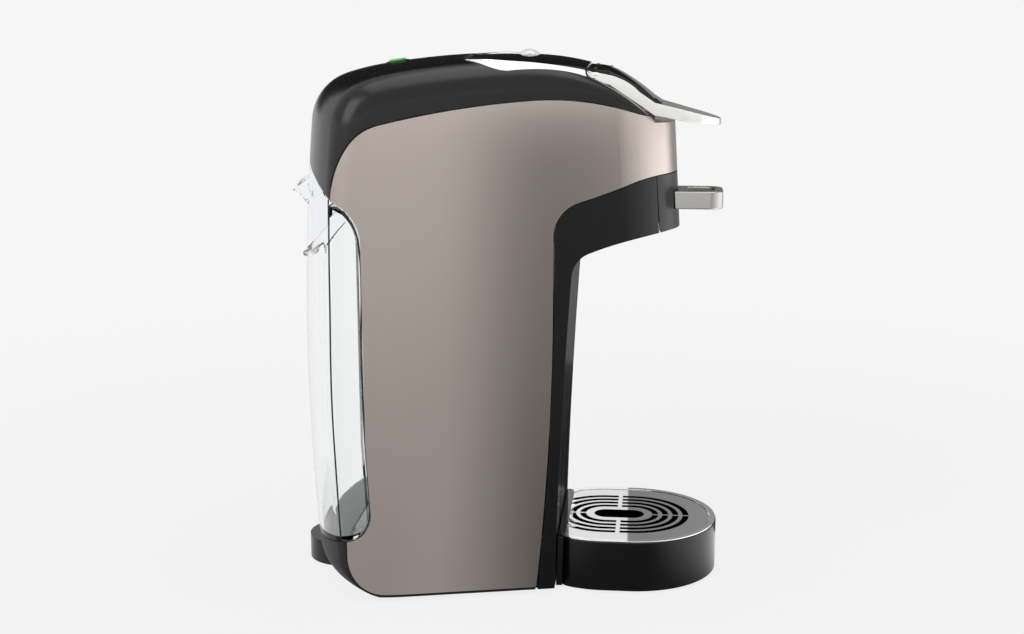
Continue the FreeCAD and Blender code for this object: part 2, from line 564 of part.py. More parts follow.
def lever_loop(name, inset):
    """The front part of the loop, the lever's plan."""
    side = f"loop_wide_half - {inset} - (pivot_x - knuckle_r - loop_wide_x) * {LOOP_SLOPE}"
    return plan_prism(
        name, ("pivot_x - knuckle_r", side),
        [("line", "pivot_x - knuckle_r", f"-({side})"),
         ("line", "loop_front_x", f"{inset} - loop_front_half"),
         ("arc", "loop_bend_x", f"{inset} - loop_bend_half", "loop_bend_r"),
         ("arc", f"loop_tip_x - {inset}", "0", f"loop_tip_r - {inset}"),
         ("arc", "loop_bend_x", f"loop_bend_half - {inset}", f"loop_tip_r - {inset}"),
         ("arc", "loop_front_x", f"loop_front_half - {inset}", "loop_bend_r"),
         ("line", "pivot_x - knuckle_r", side)],
        "brow_end_z - past", "loft_top + past")


def crowned(name, start, steps):
    """A solid under a top line that is swept across the machine in arcs about a low axis."""
    last_x = steps[-1][1]
    down = [("line", last_x, "crown_axis_z"), ("line", start[0], "crown_axis_z"), ("line", *start)]
    solid = turned(name, SIDE, start, steps + down, Vector(1, 0, 0), ("0", "crown_axis_z"), "crown_turn")
    solid.Symmetric = True
    return solid


def lever_and_panel():
    """The clamping lever, the fixed band behind it and the control panel that the band frames."""
    frame_zone = side_prism(
        "lever_frame_zone", ("pivot_x - knuckle_r", "pivot_z + rail_proud"),
        [("line", "rail_mid_x", "rail_mid_z"),
         ("smooth", "rail_dip_x", "rail_dip_z"),
         ("line", "deck_x", "grip_rear_z"),
         ("line", "loop_tip_x + over", "tip_high"),
         ("line", "loop_tip_x + over", "tip_low"),
         ("line", "deck_end_x - tip_back", "tip_low + tip_swell"),
         ("line", "deck_x", "deck_z + lever_rise"),
         ("line", "rail_dip_x", "rail_dip_z - rail_deep"),
         ("line", "rail_mid_x", "rail_mid_z - rail_deep + rail_lift"),
         ("line", "pivot_x - knuckle_r", "pivot_z - knuckle_r"),
         ("line", "pivot_x - knuckle_r", "pivot_z + rail_proud")])
    insert_crown = crowned(
        "lever_insert_crown", ("pivot_x - knuckle_r", "pivot_z + insert_proud"),
        [("line", "pivot_x + insert_ease", "pivot_z + insert_top"),
         ("smooth", "hump_x", "hump_z"),
         ("smooth", "slope_x", "slope_z"),
         ("line", "insert_end + over", "slope_end_z")])
    insert_zone = side_prism(
        "lever_insert_zone", ("pivot_x - knuckle_r", "loft_top"),
        [("line", "insert_end + over", "loft_top"),
         ("line", "insert_end + over", "deck_z + lever_rise"),
         ("line", "rail_dip_x", "rail_dip_z - rail_deep"),
         ("line", "rail_mid_x", "rail_mid_z - rail_deep + rail_lift"),
         ("line", "pivot_x - knuckle_r", "pivot_z - knuckle_r"),
         ("line", "pivot_x - knuckle_r", "loft_top")])
    knuckle = fuse("lever_reach",
                   rod("knuckle", "knuckle_r", "span", "pivot_x", "-span / 2", "pivot_z", along="y"),
                   box("ahead_of_pin", ("pivot_x", "deck_end_x + past"), ("-span / 2", "span / 2"),
                       ("deck_end_z - past", "loft_top")))
    pin_bore = rod("pin_bore", "pin_r + pin_fit", "span", "pivot_x", "-span / 2", "pivot_z", along="y")
    lug_room = [box(f"lug_room_{side}", ("pivot_x - past", "pivot_x + past"),
                    (f"{low} - lug_gap", f"{high} + lug_gap"), ("bridge_low", "loft_top"))
                for side, low, high in (("left", "lug_in", "lug_out"), ("right", "-lug_out", "-lug_in"))]
    inner = common("lever_middle", lever_loop("lever_inner", "rail_width"),
                   box("insert_reach", ("0", "insert_end"), ("-span / 2", "span / 2"),
                       ("deck_end_z - past", "loft_top + past")))
    node("lever_insert",
         cut("lever_insert", common("insert_form", inner, insert_zone, insert_crown, knuckle), pin_bore,
             *lug_room))
    frame = common("frame_form", lever_loop("lever_outer", "lever_gap"), frame_zone, knuckle)
    node("lever_frame", cut("lever_frame", frame, inner, pin_bore))
    node("hinge_pin", rod("hinge_pin", "pin_r", "2 * pin_half", "pivot_x", "-pin_half", "pivot_z", along="y"))

    swing = rod("lever_swing", "knuckle_clear", "span", "pivot_x", "-span / 2", "pivot_z", along="y")
    before = box("before_pin", ("panel_end", "deck_end_x"), ("-span / 2", "span / 2"),
                 ("0", "loft_top + past"))
    band_zone = side_prism(
        "band_zone", ("loop_rear_x - over", "band_rear_z"),
        [("line", "start_x", "band_mid_z"),
         ("smooth", "pivot_x", "pivot_z - band_drop"),
         ("line", "pivot_x", "pivot_z - rail_deep"),
         ("line", "loop_rear_x - over", "band_rear_z - rail_deep"),
         ("line", "loop_rear_x - over", "band_rear_z")])
    panel_zone = side_prism(
        "control_zone", ("loop_rear_x - over", "loft_top + past"),
        [("line", "pivot_x", "loft_top + past"),
         ("line", "pivot_x", "pivot_z - rail_deep"),
         ("line", "loop_rear_x - over", "band_rear_z - rail_deep"),
         ("line", "loop_rear_x - over", "loft_top + past")])
    panel_crown = crowned(
        "control_crown", ("loop_rear_x - over", "panel_rear_z"),
        [("arc", "start_x", "panel_top_z", "-control_bow"),
         ("smooth", "pivot_x", "control_end_z")])
    inside = fixed_loop("band_inner", "band_width")
    node("band_rear", cut("band_rear", common("band_form", fixed_loop("band_outer", "0"), band_zone),
                          fixed_loop("band_hole", "band_width"), swing, before))
    start_hole = rod("start_hole", "start_r + start_clear", "span", "start_x", "0", "bridge_low")
    posts = [rod(f"key_post_{number}", "post_r", "control_under - keys_high", x, y, "keys_high")
             for number, (x, y) in enumerate([("post_x", "post_y"), ("post_x", "-post_y"),
                                              ("post_rear_x", "post_y"), ("post_rear_x", "-post_y")])]
    plate = common("control_form", inside, panel_zone, panel_crown)
    node("top_panel", cut("top_panel", fuse("control_with_posts", plate, *posts), start_hole, swing, before))
    node("button_board", box("button_board", ("keys_rear", "keys_front"), ("-keys_half", "keys_half"),
                             ("keys_low", "keys_high")))


def buttons():
    """The clear start button on the panel and the lit power button on the shell."""
    cap = doc.addObject("PartDesign::Body", "start_button")
    plane = [item for item in cap.Origin.OriginFeatures if item.Role == "XZ_Plane"][0]
    section = cap.newObject("Sketcher::SketchObject", "start_section")
    section.AttachmentSupport = [(plane, "")]
    section.MapMode = "FlatFace"
    trace(section, ("0", "start_low"),
          [("line", "start_r", "start_low"),
           ("line", "start_r", "start_rim_z"),
           ("arc", "0", "start_top",
            "(start_r^2 + (start_top - start_rim_z)^2) / (2 * (start_top - start_rim_z))"),
           ("line", "0", "start_low")])
    dome = cap.newObject("PartDesign::Revolution", "start_dome_turn")
    dome.Profile = section
    dome.ReferenceAxis = (section, ["V_Axis"])
    bind(dome, Angle="360")
    place(cap, x="start_x")
    node("start_button", cap)

    base_z = crown_drop("0", "power_x - barrel_x")
    key = rod("power_button", "power_r", "power_deep + power_rise", "power_x", "0", f"{base_z} - power_deep")
    key.Placement.Rotation = Rotation(Vector(0, 1, 0), -val("power_tilt"))
    node("power_button", key)


def pod_drawer(outer, hollow):
    """The drawer that carries the pod, with its finger grip."""
    tray = common("holder_block", hollow,
                  box("holder_box", ("holder_rear", "deck_end_x"), ("-holder_half", "holder_half"),
                      ("holder_low", "holder_high")))
    hole = rod("pod_hole", "pod_hole_r", "span", "pod_x", "0", "holder_low - over")
    seat = rod("pod_seat_round", "pod_r", "span", "pod_x", "0", "holder_high - pod_seat")
    notch = box("needle_notch", ("holder_rear - over", "pod_x"), ("-notch_half", "notch_half"),
                ("notch_z", "holder_high + over"))
    node("pod_holder", cut("pod_holder", tray, hole, seat, notch))

    loop = doc.addObject("PartDesign::Body", "grip_loop")
    plane = [item for item in loop.Origin.OriginFeatures if item.Role == "XY_Plane"][0]

    def outline(name, near, far, half, corner):
        sketch = loop.newObject("Sketcher::SketchObject", name)
        sketch.AttachmentSupport = [(plane, "")]
        sketch.MapMode = "FlatFace"
        bind(sketch, AttachmentOffset__Base__z="grip_low")
        return trace(sketch, (near, f"-{half}"),
                     [("line", f"{far} - {corner}", f"-{half}"),
                      ("smooth", far, f"{corner} - {half}"),
                      ("line", far, f"{half} - {corner}"),
                      ("smooth", f"{far} - {corner}", half),
                      ("line", near, half),
                      ("line", near, f"-{half}")])

    bar = loop.newObject("PartDesign::Pad", "grip_bar")
    bar.Profile = outline("grip_outline", "pod_x", "grip_end", "grip_half", "grip_corner")
    bind(bar, Length="grip_high - grip_low")
    doc.recompute()
    eye = loop.newObject("PartDesign::Pocket", "finger_eye")
    eye.Profile = outline("eye_outline", "loop_near", "loop_far", "loop_half", "loop_corner")
    eye.Type = "ThroughAll"
    eye.Midplane = True
    doc.recompute()
    node("holder_grip", cut("holder_grip", loop, outer))


def brew_head():
    """The frame that guides the drawer and carries the piercing gear and the lever's pin."""
    rails = [box(f"rail_{side}", ("head_rear", "head_front"), (low, high), ("rail_low", "bridge_high"))
             for side, low, high in (("left", "rail_half", "head_half"),
                                     ("right", "-head_half", "-rail_half"))]
    back = box("head_back", ("head_rear", "head_rear + head_wall"), ("-head_half", "head_half"),
               ("shelf_low + plate_thick", "bridge_high"))
    bridge = box("head_bridge", ("head_rear", "head_front"), ("-head_half", "head_half"),
                 ("bridge_low", "bridge_high"))
    lugs = [fuse(f"lug_{side}",
                 box(f"lug_post_{side}", ("pivot_x - lug_half_x", "pivot_x + lug_half_x"), (low, high),
                     ("bridge_low", "pivot_z")),
                 rod(f"lug_eye_{side}", "lug_half_x", f"{high} - ({low})", "pivot_x", low, "pivot_z",
                     along="y"))
            for side, low, high in (("left", "lug_in", "lug_out"), ("right", "-lug_out", "-lug_in"))]
    frame = fuse("head_frame", back, bridge, *rails, *lugs)
    stem_hole = rod("stem_hole", "stem_r + stem_clear", "span", "pod_x", "0", "injector_high")
    hose_hole = rod("head_hose_hole", "hose_r", "span", "0", "0", "hose_in_z", along="x")
    pin_hole = rod("head_pin_hole", "pin_r", "span", "pivot_x", "-span / 2", "pivot_z", along="y")
    node("brew_head", cut("brew_head", frame, stem_hole, hose_hole, pin_hole))

    plate = rod("injector_plate", "injector_r", "injector_high - injector_low", "pod_x", "0", "injector_low")
    stem = rod("injector_stem", "stem_r", "stem_high - injector_high", "pod_x", "0", "injector_high")
    needle_bore = rod("needle_bore", "needle_r", "span", "pod_x", "0", "needle_low - over")
    groove = doc.addObject("Part::Torus", "seal_groove")
    seal = doc.addObject("Part::Torus", "injector_seal")
    for ring in (groove, seal):
        bind(ring, Radius1="seal_r", Radius2="seal_thick")
        place(ring, "pod_x", "0", "injector_low + seal_thick / 2")
    node("injector", cut("injector", fuse("injector_form", plate, stem), needle_bore, groove))
    node("injector_seal", seal)
    node("needle", rod("needle", "needle_r", "stem_high - needle_low", "pod_x", "0", "needle_low"))


def mouth(x):
    """Height of the tank's slanted mouth at a distance from the front."""
    return f"mouth_low_z + ({x} - mouth_low_x) * mouth_slope"


def lip(x):
    """Height of the base's rear lip."""
    return f"lip_z + ({x} - lip_x) * lip_slope"


def tail(x):
    """Height of the top shell's rear edge."""
    return f"brow_tip_z + seam + (brow_tip_x - ({x})) * tail_slope"


def tank_core(name, inset, rise):
    """The tank's body behind the side panels; rise lifts the mouth's edge."""
    top = f"tank_top - {inset}"
    return common(
        name, side_prism(
            name + "_zone", (f"tank_front - {inset}", f"tank_floor + {inset}"),
            [("line", "dock_rear", f"tank_floor + {inset}"),
             ("line", "plan_rear", f"{lip('plan_rear')} + tank_gap + {inset}"),
             ("line", "plan_rear", f"{mouth('plan_rear')} + {rise}"),
             ("line", f"mouth_low_x + ({top} - {rise} - mouth_low_z) / mouth_slope", top),
             ("line", f"tank_front - {inset}", top),
             ("line", f"tank_front - {inset}", f"tank_floor + {inset}")]),
        box(name + "_width", ("plan_rear", "0"), (f"{inset} - tank_half", f"tank_half - {inset}"),
            ("0", "loft_top")))


def tank_ears(name, inset, rise):
    """The tank's windows, flush with the side panels."""
    gap = f"(tank_gap + {inset})"
    front = f"(flap_front + tank_gap + {inset})"
    return side_prism(
        name, ("plan_rear", f"{lip('plan_rear')} + {gap}"),
        [("line", "corner_x", f"{lip('corner_x')} + {gap}"),
         ("line", "sill_bend_x", f"sill_bend_z + {gap}"),
         ("smooth", f"jamb_low_x - {gap}", f"jamb_low_z + {inset} / 2"),
         ("line", f"jamb_mid_x - {gap}", "jamb_mid_z"),
         ("line", f"jamb_high_x - {gap}", "jamb_high_z"),
         ("smooth", f"head_x - {gap} / 2", f"head_z - {gap}"),
         ("line", front, f"head_z - {gap} + head_ease"),
         ("line", front, f"{mouth(front)} + {rise}"),
         ("line", "plan_rear", f"{mouth('plan_rear')} + {rise}"),
         ("line", "plan_rear", f"{lip('plan_rear')} + {gap}")])


def flap_barrel(name, radius, low, high):
    """A stretch of the flap's hinge barrel."""
    return rod(name, radius, f"{high} - ({low})", "flap_pin_x", low, "flap_pin_z", along="y")


def tank(back_outer, back_inner):
    """The clear tank, its filling flap and its valve."""
    outside = common("tank_outside", back_outer,
                     fuse("tank_body", tank_core("tank_core", "0", "0"), tank_ears("tank_ears", "0", "0")))
    inside = common("tank_inside", back_inner,
                    fuse("tank_hollow", tank_core("tank_core_hollow", "tank_wall", "tank_wall + over"),
                         tank_ears("tank_ears_hollow", "tank_wall", "tank_wall + over")))
    near_barrel = flap_barrel("tank_barrel_near", "flap_knuckle_r", "-flap_knuckle_out",
                              "-flap_knuckle_in - flap_knuckle_gap")
    far_barrel = flap_barrel("tank_barrel_far", "flap_knuckle_r", "flap_knuckle_in + flap_knuckle_gap",
                             "flap_knuckle_out")
    flap_room = flap_barrel("flap_room", "flap_knuckle_r + flap_knuckle_gap",
                            "-flap_knuckle_in - flap_knuckle_gap", "flap_knuckle_in + flap_knuckle_gap")
    pin_hole = flap_barrel("tank_pin_hole", "flap_pin_r", "-flap_knuckle_out - over",
                           "flap_knuckle_out + over")
    valve_hole = rod("valve_hole", "valve_r", "tank_floor", "valve_x", "0", "valve_low")
    walls = cut("tank_walls", outside, inside, flap_room, valve_hole)
    node("water_tank", cut("water_tank", fuse("tank_with_barrels", walls, near_barrel, far_barrel), pin_hole))

    flap_zone = side_prism(
        "flap_zone", ("flap_front", f"{mouth('flap_front')} + tank_gap"),
        [("line", "plan_rear", f"{mouth('plan_rear')} + tank_gap"),
         ("line", "plan_rear", f"{tail('plan_rear')} - tank_gap - seam"),
         ("line", "flap_front", f"{tail('flap_front')} - tank_gap - seam"),
         ("line", "flap_front", f"{mouth('flap_front')} + tank_gap")])
    sheet_form = cut("flap_sheet", common("flap_block", back_outer, flap_zone), back_inner)
    lip_form = turned(
        "flap_lip", BACKWARD, ("heel_r + lip_root", "flap_lip_low"),
        [("line", "heel_r + lip_root_out", "flap_lip_low"),
         ("arc", "barrel_x - flap_lip_tip", "flap_lip_z", "flap_lip_sweep"),
         ("line", "heel_r + lip_edge_out", "flap_lip_high"),
         ("line", "heel_r + lip_edge", "flap_lip_high"),
         ("line", "heel_r + lip_root", "flap_lip_low")],
        Vector(0, 0, 1), ("barrel_x", "0"), "flap_lip_angle")
    lip_form.Symmetric = True
    barrel = flap_barrel("flap_barrel", "flap_knuckle_r", "-flap_knuckle_in", "flap_knuckle_in")
    rooms = [flap_barrel(f"tank_room_{side}", "flap_knuckle_r + flap_knuckle_gap", low, high)
             for side, low, high in (("near", "-flap_knuckle_out - over", "-flap_knuckle_in"),
                                     ("far", "flap_knuckle_in", "flap_knuckle_out + over"))]
    bore = flap_barrel("flap_bore", "flap_pin_r + pin_fit", "-flap_knuckle_in - over",
                       "flap_knuckle_in + over")
    node("tank_flap", cut("tank_flap", fuse("flap_form", sheet_form, lip_form, barrel), bore, *rooms))
    node("flap_pin", flap_barrel("flap_pin", "flap_pin_r", "-flap_knuckle_out", "flap_knuckle_out"))

    spout = rod("valve_spout", "valve_r", "tank_floor + tank_wall - valve_low", "valve_x", "0", "valve_low")
    flange = rod("valve_flange_disc", "valve_flange_r", "valve_flange", "valve_x", "0",
                 "tank_floor + tank_wall")
    bore = rod("valve_bore_hole", "valve_bore", "span", "valve_x", "0", "valve_low - over")
    node("tank_valve", cut("tank_valve", fuse("valve_form", spout, flange), bore))


def base(outer, hollow, skin):
    """The base pan with its rear wall, the feet, the dock under the tank and the cord gland."""
    floor = common("floor_plate", hollow,
                   box("floor_box", ("plan_rear", "floor_front"), ("-span / 2", "span / 2"),
                       ("base_z", "floor_high")))
    rim_front = "column_side_foot - seam"
    rear_zone = side_prism(
        "base_rear_zone", (rim_front, "panel_foot_z - seam"),
        [("line", "corner_x + corner_r", "panel_foot_z - seam"),
         ("arc", "corner_x - seam", "panel_foot_z + corner_r", "-corner_r - seam"),
         ("line", "corner_x - seam", lip("corner_x - seam")),
         ("line", "plan_rear", lip("plan_rear")),
         ("line", "plan_rear", "0"),
         ("line", rim_front, "0"),
         ("line", rim_front, "panel_foot_z - seam")])
    spots = [("screw_rear_x", "screw_rear_y"), ("screw_rear_x", "-screw_rear_y"),
             ("screw_front_x", "screw_front_y"), ("screw_front_x", "-screw_front_y")]
    shanks = [rod(f"screw_shank_{number}", "screw_r / 2", "floor_high + plate_thick - base_z", x, y, "base_z")
              for number, (x, y) in enumerate(spots)]
    heads = [rod(f"screw_head_{number}", "screw_r", "screw_high", x, y, "base_z - screw_high")
             for number, (x, y) in enumerate(spots)]
    node("screws", group("screws", *[fuse(f"screw_{number}", head, shank)
                                     for number, (head, shank) in enumerate(zip(heads, shanks))]))
    node("base", cut("base", fuse("base_form", floor, common("base_rear", skin, rear_zone)), *shanks))

    half_round = plan_prism(
        "foot_form", ("foot_x", "-foot_r"),
        [("line", "foot_x", "foot_r"),
         ("arc", "foot_x - foot_r", "0", "foot_r"),
         ("arc", "foot_x", "-foot_r", "foot_r")],
        "0", "foot_high")
    gland = rod("gland_body", "gland_r", "gland_out - gland_in", "gland_x", "gland_in", "gland_z", along="y")
    gland_hole = rod("gland_hole", "gland_bore", "gland_out", "gland_x", "gland_in + over", "gland_z",
                     along="y")
    node("rear_foot", cut("rear_foot", half_round, outer, gland))
    node("cord_gland", cut("cord_gland", gland, gland_hole))
    pads = [rod(f"pad_{number}", "pad_r", "base_z", x, y)
            for number, (x, y) in enumerate([("pad_rear_x", "pad_rear_y"), ("pad_rear_x", "-pad_rear_y"),
                                             ("pad_front_x", "pad_front_y"),
                                             ("pad_front_x", "-pad_front_y")])]
    node("rubber_feet", group("rubber_feet", *pads))

    block = box("dock_block", ("dock_rear", "dock_front"), ("-dock_half", "dock_half"),
                ("floor_high", "dock_high"))
    socket = rod("dock_socket", "socket_r", "span", "valve_x", "0", "socket_low")
    port = rod("dock_port", "port_r", "span", "valve_x", "meter_y", "suction_z", along="x")
    channel = rod("dock_channel", "hose_r", "meter_y + hose_r", "valve_x", "0", "suction_z", along="y")
    groove = doc.addObject("Part::Torus", "dock_groove")
    ring = doc.addObject("Part::Torus", "dock_seal")
    for item in (groove, ring):
        bind(item, Radius1="dock_ring_r", Radius2="dock_ring_thick")
        place(item, "valve_x", "0", "dock_ring_z")
    node("tank_dock", cut("tank_dock", block, socket, groove, port, channel))
    node("dock_seal", ring)
    return shanks


def tray_outline(inset):
    """The drip tray's plan: a round front, short straight sides and a flat back against the column."""
    radius = f"tray_r - ({inset})"
    front = "tray_x + tray_straight"
    rear = f"tray_rear + ({inset})"
    corner_x = f"tray_corner_x + ({inset}) / 2"
    corner_y = f"tray_corner_y - ({inset})"
    return (rear, "-tray_rear_half"), [
        ("arc", corner_x, f"-({corner_y})", "tray_corner_r"),
        ("arc", "tray_x - tray_straight", f"-({radius})", radius),
        ("line", front, f"-({radius})"),
        ("arc", f"{front} + {radius}", "0", radius),
        ("arc", front, radius, radius),
        ("line", "tray_x - tray_straight", radius),
        ("arc", corner_x, corner_y, radius),
        ("arc", rear, "tray_rear_half", "tray_corner_r"),
        ("line", rear, "-tray_rear_half")]


def stadium(name, radius, low, high):
    """A round-ended slug under the grille's slots."""
    return plan_prism(
        name, ("tray_x - tray_straight", f"-({radius})"),
        [("line", "tray_x + tray_straight", f"-({radius})"),
         ("arc", f"tray_x + tray_straight + {radius}", "0", radius),
         ("arc", "tray_x + tray_straight", radius, radius),
         ("line", "tray_x - tray_straight", radius),
         ("arc", f"tray_x - tray_straight - ({radius})", "0", radius),
         ("arc", "tray_x - tray_straight", f"-({radius})", radius)],
        low, high)


def drip_tray():
    """The drip tray, its bright rim, the slotted grille and the hooks that hold it to the column."""
    cup = cut("tray_cup", plan_prism("tray_form", *tray_outline("0"), "tray_low", "tray_high"),
              plan_prism("tray_hollow", *tray_outline("tray_wall"), "tray_low + tray_wall",
                         "tray_high + over"))
    node("drip_tray", cup)
    rim_form = fuse("rim_form", plan_prism("rim_flange", *tray_outline("rim_set"), "tray_high", "rim_high"),
                    plan_prism("rim_ring", *tray_outline("tray_wall"), "rim_low", "tray_high"))
    rim = cut("tray_rim", rim_form,
              plan_prism("rim_hole", *tray_outline("rim_inner"), "ledge_high", "rim_high + over"),
              plan_prism("rim_ledge_hole", *tray_outline("ledge"), "rim_low - over", "rim_high + over"))
    node("tray_rim", rim)

    plate = plan_prism("grille_plate", *tray_outline("rim_inner + grille_gap"), "ledge_high",
                       "ledge_high + grille_thick")
    low, high = "ledge_high - over", "ledge_high + grille_thick + over"
    rings = []
    for number in range(4):
        middle = f"slot_first + {number} * slot_pitch"
        rings.append(cut(f"slot_ring_{number}",
                         stadium(f"slot_outer_{number}", f"{middle} + slot_wide / 2", low, high),
                         stadium(f"slot_inner_{number}", f"{middle} - slot_wide / 2", low, high)))
    bars = [box("bar_across", ("tray_x - bar_wide / 2", "tray_x + bar_wide / 2"), ("-span / 2", "span / 2"),
                (low, high)),
            box("bar_along", ("tray_x - span / 2", "tray_x + span / 2"), ("-bar_thin / 2", "bar_thin / 2"),
                (low, high))]
    slots = cut("grille_slots", fuse("slot_rings", *rings), *bars)
    node("drip_grille", cut("drip_grille", plate, slots, stadium("slot_middle", "slot_centre", low, high)))

    hooks = []
    for side, sign in (("left", "1"), ("right", "-1")):
        arm = box(f"hook_arm_{side}", ("tongue_rear", "tray_rear"),
                  (f"{sign} * hook_y - hook_half", f"{sign} * hook_y + hook_half"), ("hook_low", "hook_high"))
        tongue = box(f"hook_tongue_{side}", ("tongue_rear", "tongue_front"),
                     (f"{sign} * hook_y - tongue_half", f"{sign} * hook_y + tongue_half"),
                     ("hook_low", "hook_high"))
        hooks.append(fuse(f"hook_{side}", arm, tongue))
    node("tray_hooks", group("tray_hooks", *hooks))


def works(shanks):
    """Chassis, pump, heater, flow meter, board and hoses inside the column."""
    deck = "floor_high + plate_thick"
    bottom = box("chassis_bottom", ("chassis_rear", "chassis_front"), ("-chassis_half", "chassis_half"),
                 ("floor_high", deck))
    upright = box("chassis_upright", ("chassis_rear", "chassis_rear + plate_thick"),
                  ("-chassis_half", "chassis_half"), (deck, "shelf_low"))
    shelf = box("chassis_shelf", ("chassis_rear", "shelf_front"), ("-chassis_half", "chassis_half"),
                ("shelf_low", "shelf_low + plate_thick"))
    bracket = box("boiler_bracket", ("chassis_rear", "0"), ("-bracket_half", "bracket_half"),
                  ("bracket_low", "bracket_high"))
    passage = box("chassis_passage", ("chassis_rear - over", "chassis_rear + plate_thick + over"),
                  ("-pass_half", "pass_half"), (deck, "pass_high"))
    boiler_room = rod("boiler_room", "boiler_r", "boiler_high - boiler_low", "0", "0", "boiler_low")
    hose_room = rod("hose_room", "hose_r + lever_gap", "plate_thick * 4", "0", "0", "shelf_low - plate_thick")
    node("chassis", cut("chassis", fuse("chassis_form", bottom, upright, shelf, bracket),
                        passage, boiler_room, hose_room, *shanks))

    barrel = rod("pump_barrel", "pump_r", "pump_front - pump_rear", "pump_rear", "0", "pump_z", along="x")
    coil = box("pump_coil", ("coil_rear", "coil_front"), ("-coil_half", "coil_half"),
               ("pump_z - coil_half", "pump_z + coil_half"))
    outlet = rod("pump_outlet", "outlet_r", "outlet_high - pump_z", "outlet_x", "0", "pump_z")
    node("pump", fuse("pump", barrel, coil, outlet))
    node("pump_mounts", group("pump_mounts", *[
        box(f"pump_mount_{number}", (x, f"{x} + mount_long"), ("-mount_wide / 2", "mount_wide / 2"),
            (deck, "pump_z - coil_half"))
        for number, x in enumerate(["coil_rear + mount_in", "coil_front - mount_in - mount_long"])]))

    tank_body = rod("boiler_body", "boiler_r", "boiler_high - boiler_low", "0", "0", "boiler_low")
    cap = rod("boiler_cap_disc", "boiler_cap_r", "boiler_cap", "0", "0", "boiler_high")
    node("thermoblock", fuse("thermoblock", tank_body, cap))

    body = rod("meter_body", "meter_r", f"meter_high - ({deck})", "meter_x", "meter_y", deck)
    nozzle = rod("meter_nozzle", "hose_r", "meter_r + nozzle_reach", "meter_x - meter_r - nozzle_reach",
                 "meter_y", "suction_z", along="x")
    node("flow_meter", fuse("flow_meter", body, nozzle))
    node("suction_hose",
         rod("suction_hose", "hose_r", "meter_x - meter_r - nozzle_reach - dock_front", "dock_front",
                             "meter_y", "suction_z", along="x"))
    node("pressure_hose",
         rod("pressure_hose", "hose_r", "boiler_low - outlet_high", "outlet_x", "0", "outlet_high"))

    board = box("board_sheet", ("chassis_rear + plate_thick", "board_front"),
                ("board_y", "board_y + board_thick"), ("board_low", "board_high"))
    chip_spots = [("chassis_rear + chip_in", "board_low + chip_in"),
                  ("chassis_rear + chip_in", "board_high - chip_top"),
                  ("board_front - chip_front", "board_low + chip_mid")]
    chips = [box(f"board_chip_{number}", (x, f"{x} + chip_long"), ("board_y - chip_deep", "board_y"),
                 (z, f"{z} + chip_high"))
             for number, (x, z) in enumerate(chip_spots)]
    node("control_board", fuse("control_board", board, *chips))

    start = Vector(0, 0, val("boiler_high + boiler_cap"))
    bend = val("hose_bend")
    turn_z = val("hose_in_z") - bend
    corner = Vector(bend * (1 - math.cos(math.pi / 4)), 0, turn_z + bend * math.sin(math.pi / 4))
    end = Vector(val("head_rear + head_wall"), 0, val("hose_in_z"))
    path = Part.Wire([Part.LineSegment(start, Vector(0, 0, turn_z)).toShape(),
                      Part.Arc(Vector(0, 0, turn_z), corner, Vector(bend, 0, end.z)).toShape(),
                      Part.LineSegment(Vector(bend, 0, end.z), end).toShape()])
    ring = Part.Wire(Part.makeCircle(val("hose_r"), start, Vector(0, 0, 1)))
    hose = doc.addObject("Part::Feature", "delivery_hose")
    hose.Shape = path.makePipeShell([ring], True, False)
    node("delivery_hose", hose)


def export():
    """Check every object and write each piece to its own file."""
    doc.recompute()
    for item in doc.Objects:
        assert not {"Invalid", "Error"} & set(item.State), f"{item.Name} failed"
    os.makedirs("parts", exist_ok=True)
    for name, item in nodes.items():
        shape = item.Shape
        assert shape.isValid() and shape.Volume > 0, f"{name} is not a sound solid"
        shape.exportStep(f"parts/{name}.step")
        print(f"{name}: {len(shape.Solids)} solid, {shape.Volume / 1000:.2f} cm3")


outer_form, outer_back = shell_form("outer", "0", "base_z")
hollow_form, hollow_back = shell_form("hollow", "wall", "loft_low")
skin_form = cut("skin", outer_form, hollow_form)
housing(outer_form, skin_form)
lever_and_panel()
buttons()
pod_drawer(outer_form, hollow_form)
brew_head()
tank(outer_back, hollow_back)
screw_shanks = base(outer_form, hollow_form, skin_form)
drip_tray()
works(screw_shanks)
export()
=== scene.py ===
# %% [markdown]
# # A pod coffee machine, dressed for its picture
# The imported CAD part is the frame: every node keeps its place and its moving body. This script gives each
# node the finish of its real material, lays a few finely rounded pieces over it and sets up the studio.

# %% The frame
import json
import math

import bmesh
import bpy
from mathutils import Matrix, Vector


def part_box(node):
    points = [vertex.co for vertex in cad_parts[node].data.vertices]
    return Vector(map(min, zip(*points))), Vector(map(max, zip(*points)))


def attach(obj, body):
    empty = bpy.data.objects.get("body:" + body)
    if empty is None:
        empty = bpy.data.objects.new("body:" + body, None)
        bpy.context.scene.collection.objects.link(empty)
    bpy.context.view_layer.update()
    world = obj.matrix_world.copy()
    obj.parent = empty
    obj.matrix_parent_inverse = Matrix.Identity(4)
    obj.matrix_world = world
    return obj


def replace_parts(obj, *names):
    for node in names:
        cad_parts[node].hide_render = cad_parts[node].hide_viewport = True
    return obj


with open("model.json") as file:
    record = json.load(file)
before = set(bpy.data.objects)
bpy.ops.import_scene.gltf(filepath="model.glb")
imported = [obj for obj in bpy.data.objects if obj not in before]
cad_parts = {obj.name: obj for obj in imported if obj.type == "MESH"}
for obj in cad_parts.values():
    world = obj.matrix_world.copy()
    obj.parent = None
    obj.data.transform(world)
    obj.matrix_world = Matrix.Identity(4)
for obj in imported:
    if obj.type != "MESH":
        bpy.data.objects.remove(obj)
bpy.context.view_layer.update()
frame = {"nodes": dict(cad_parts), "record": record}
MM = 0.001

# %% [markdown]
# Colours are written as sRGB codes, as a paint chart gives them. Patterns are sized in millimetres, because
# a moulded grain or a brushed line has a real width, and Object coordinates count in metres.

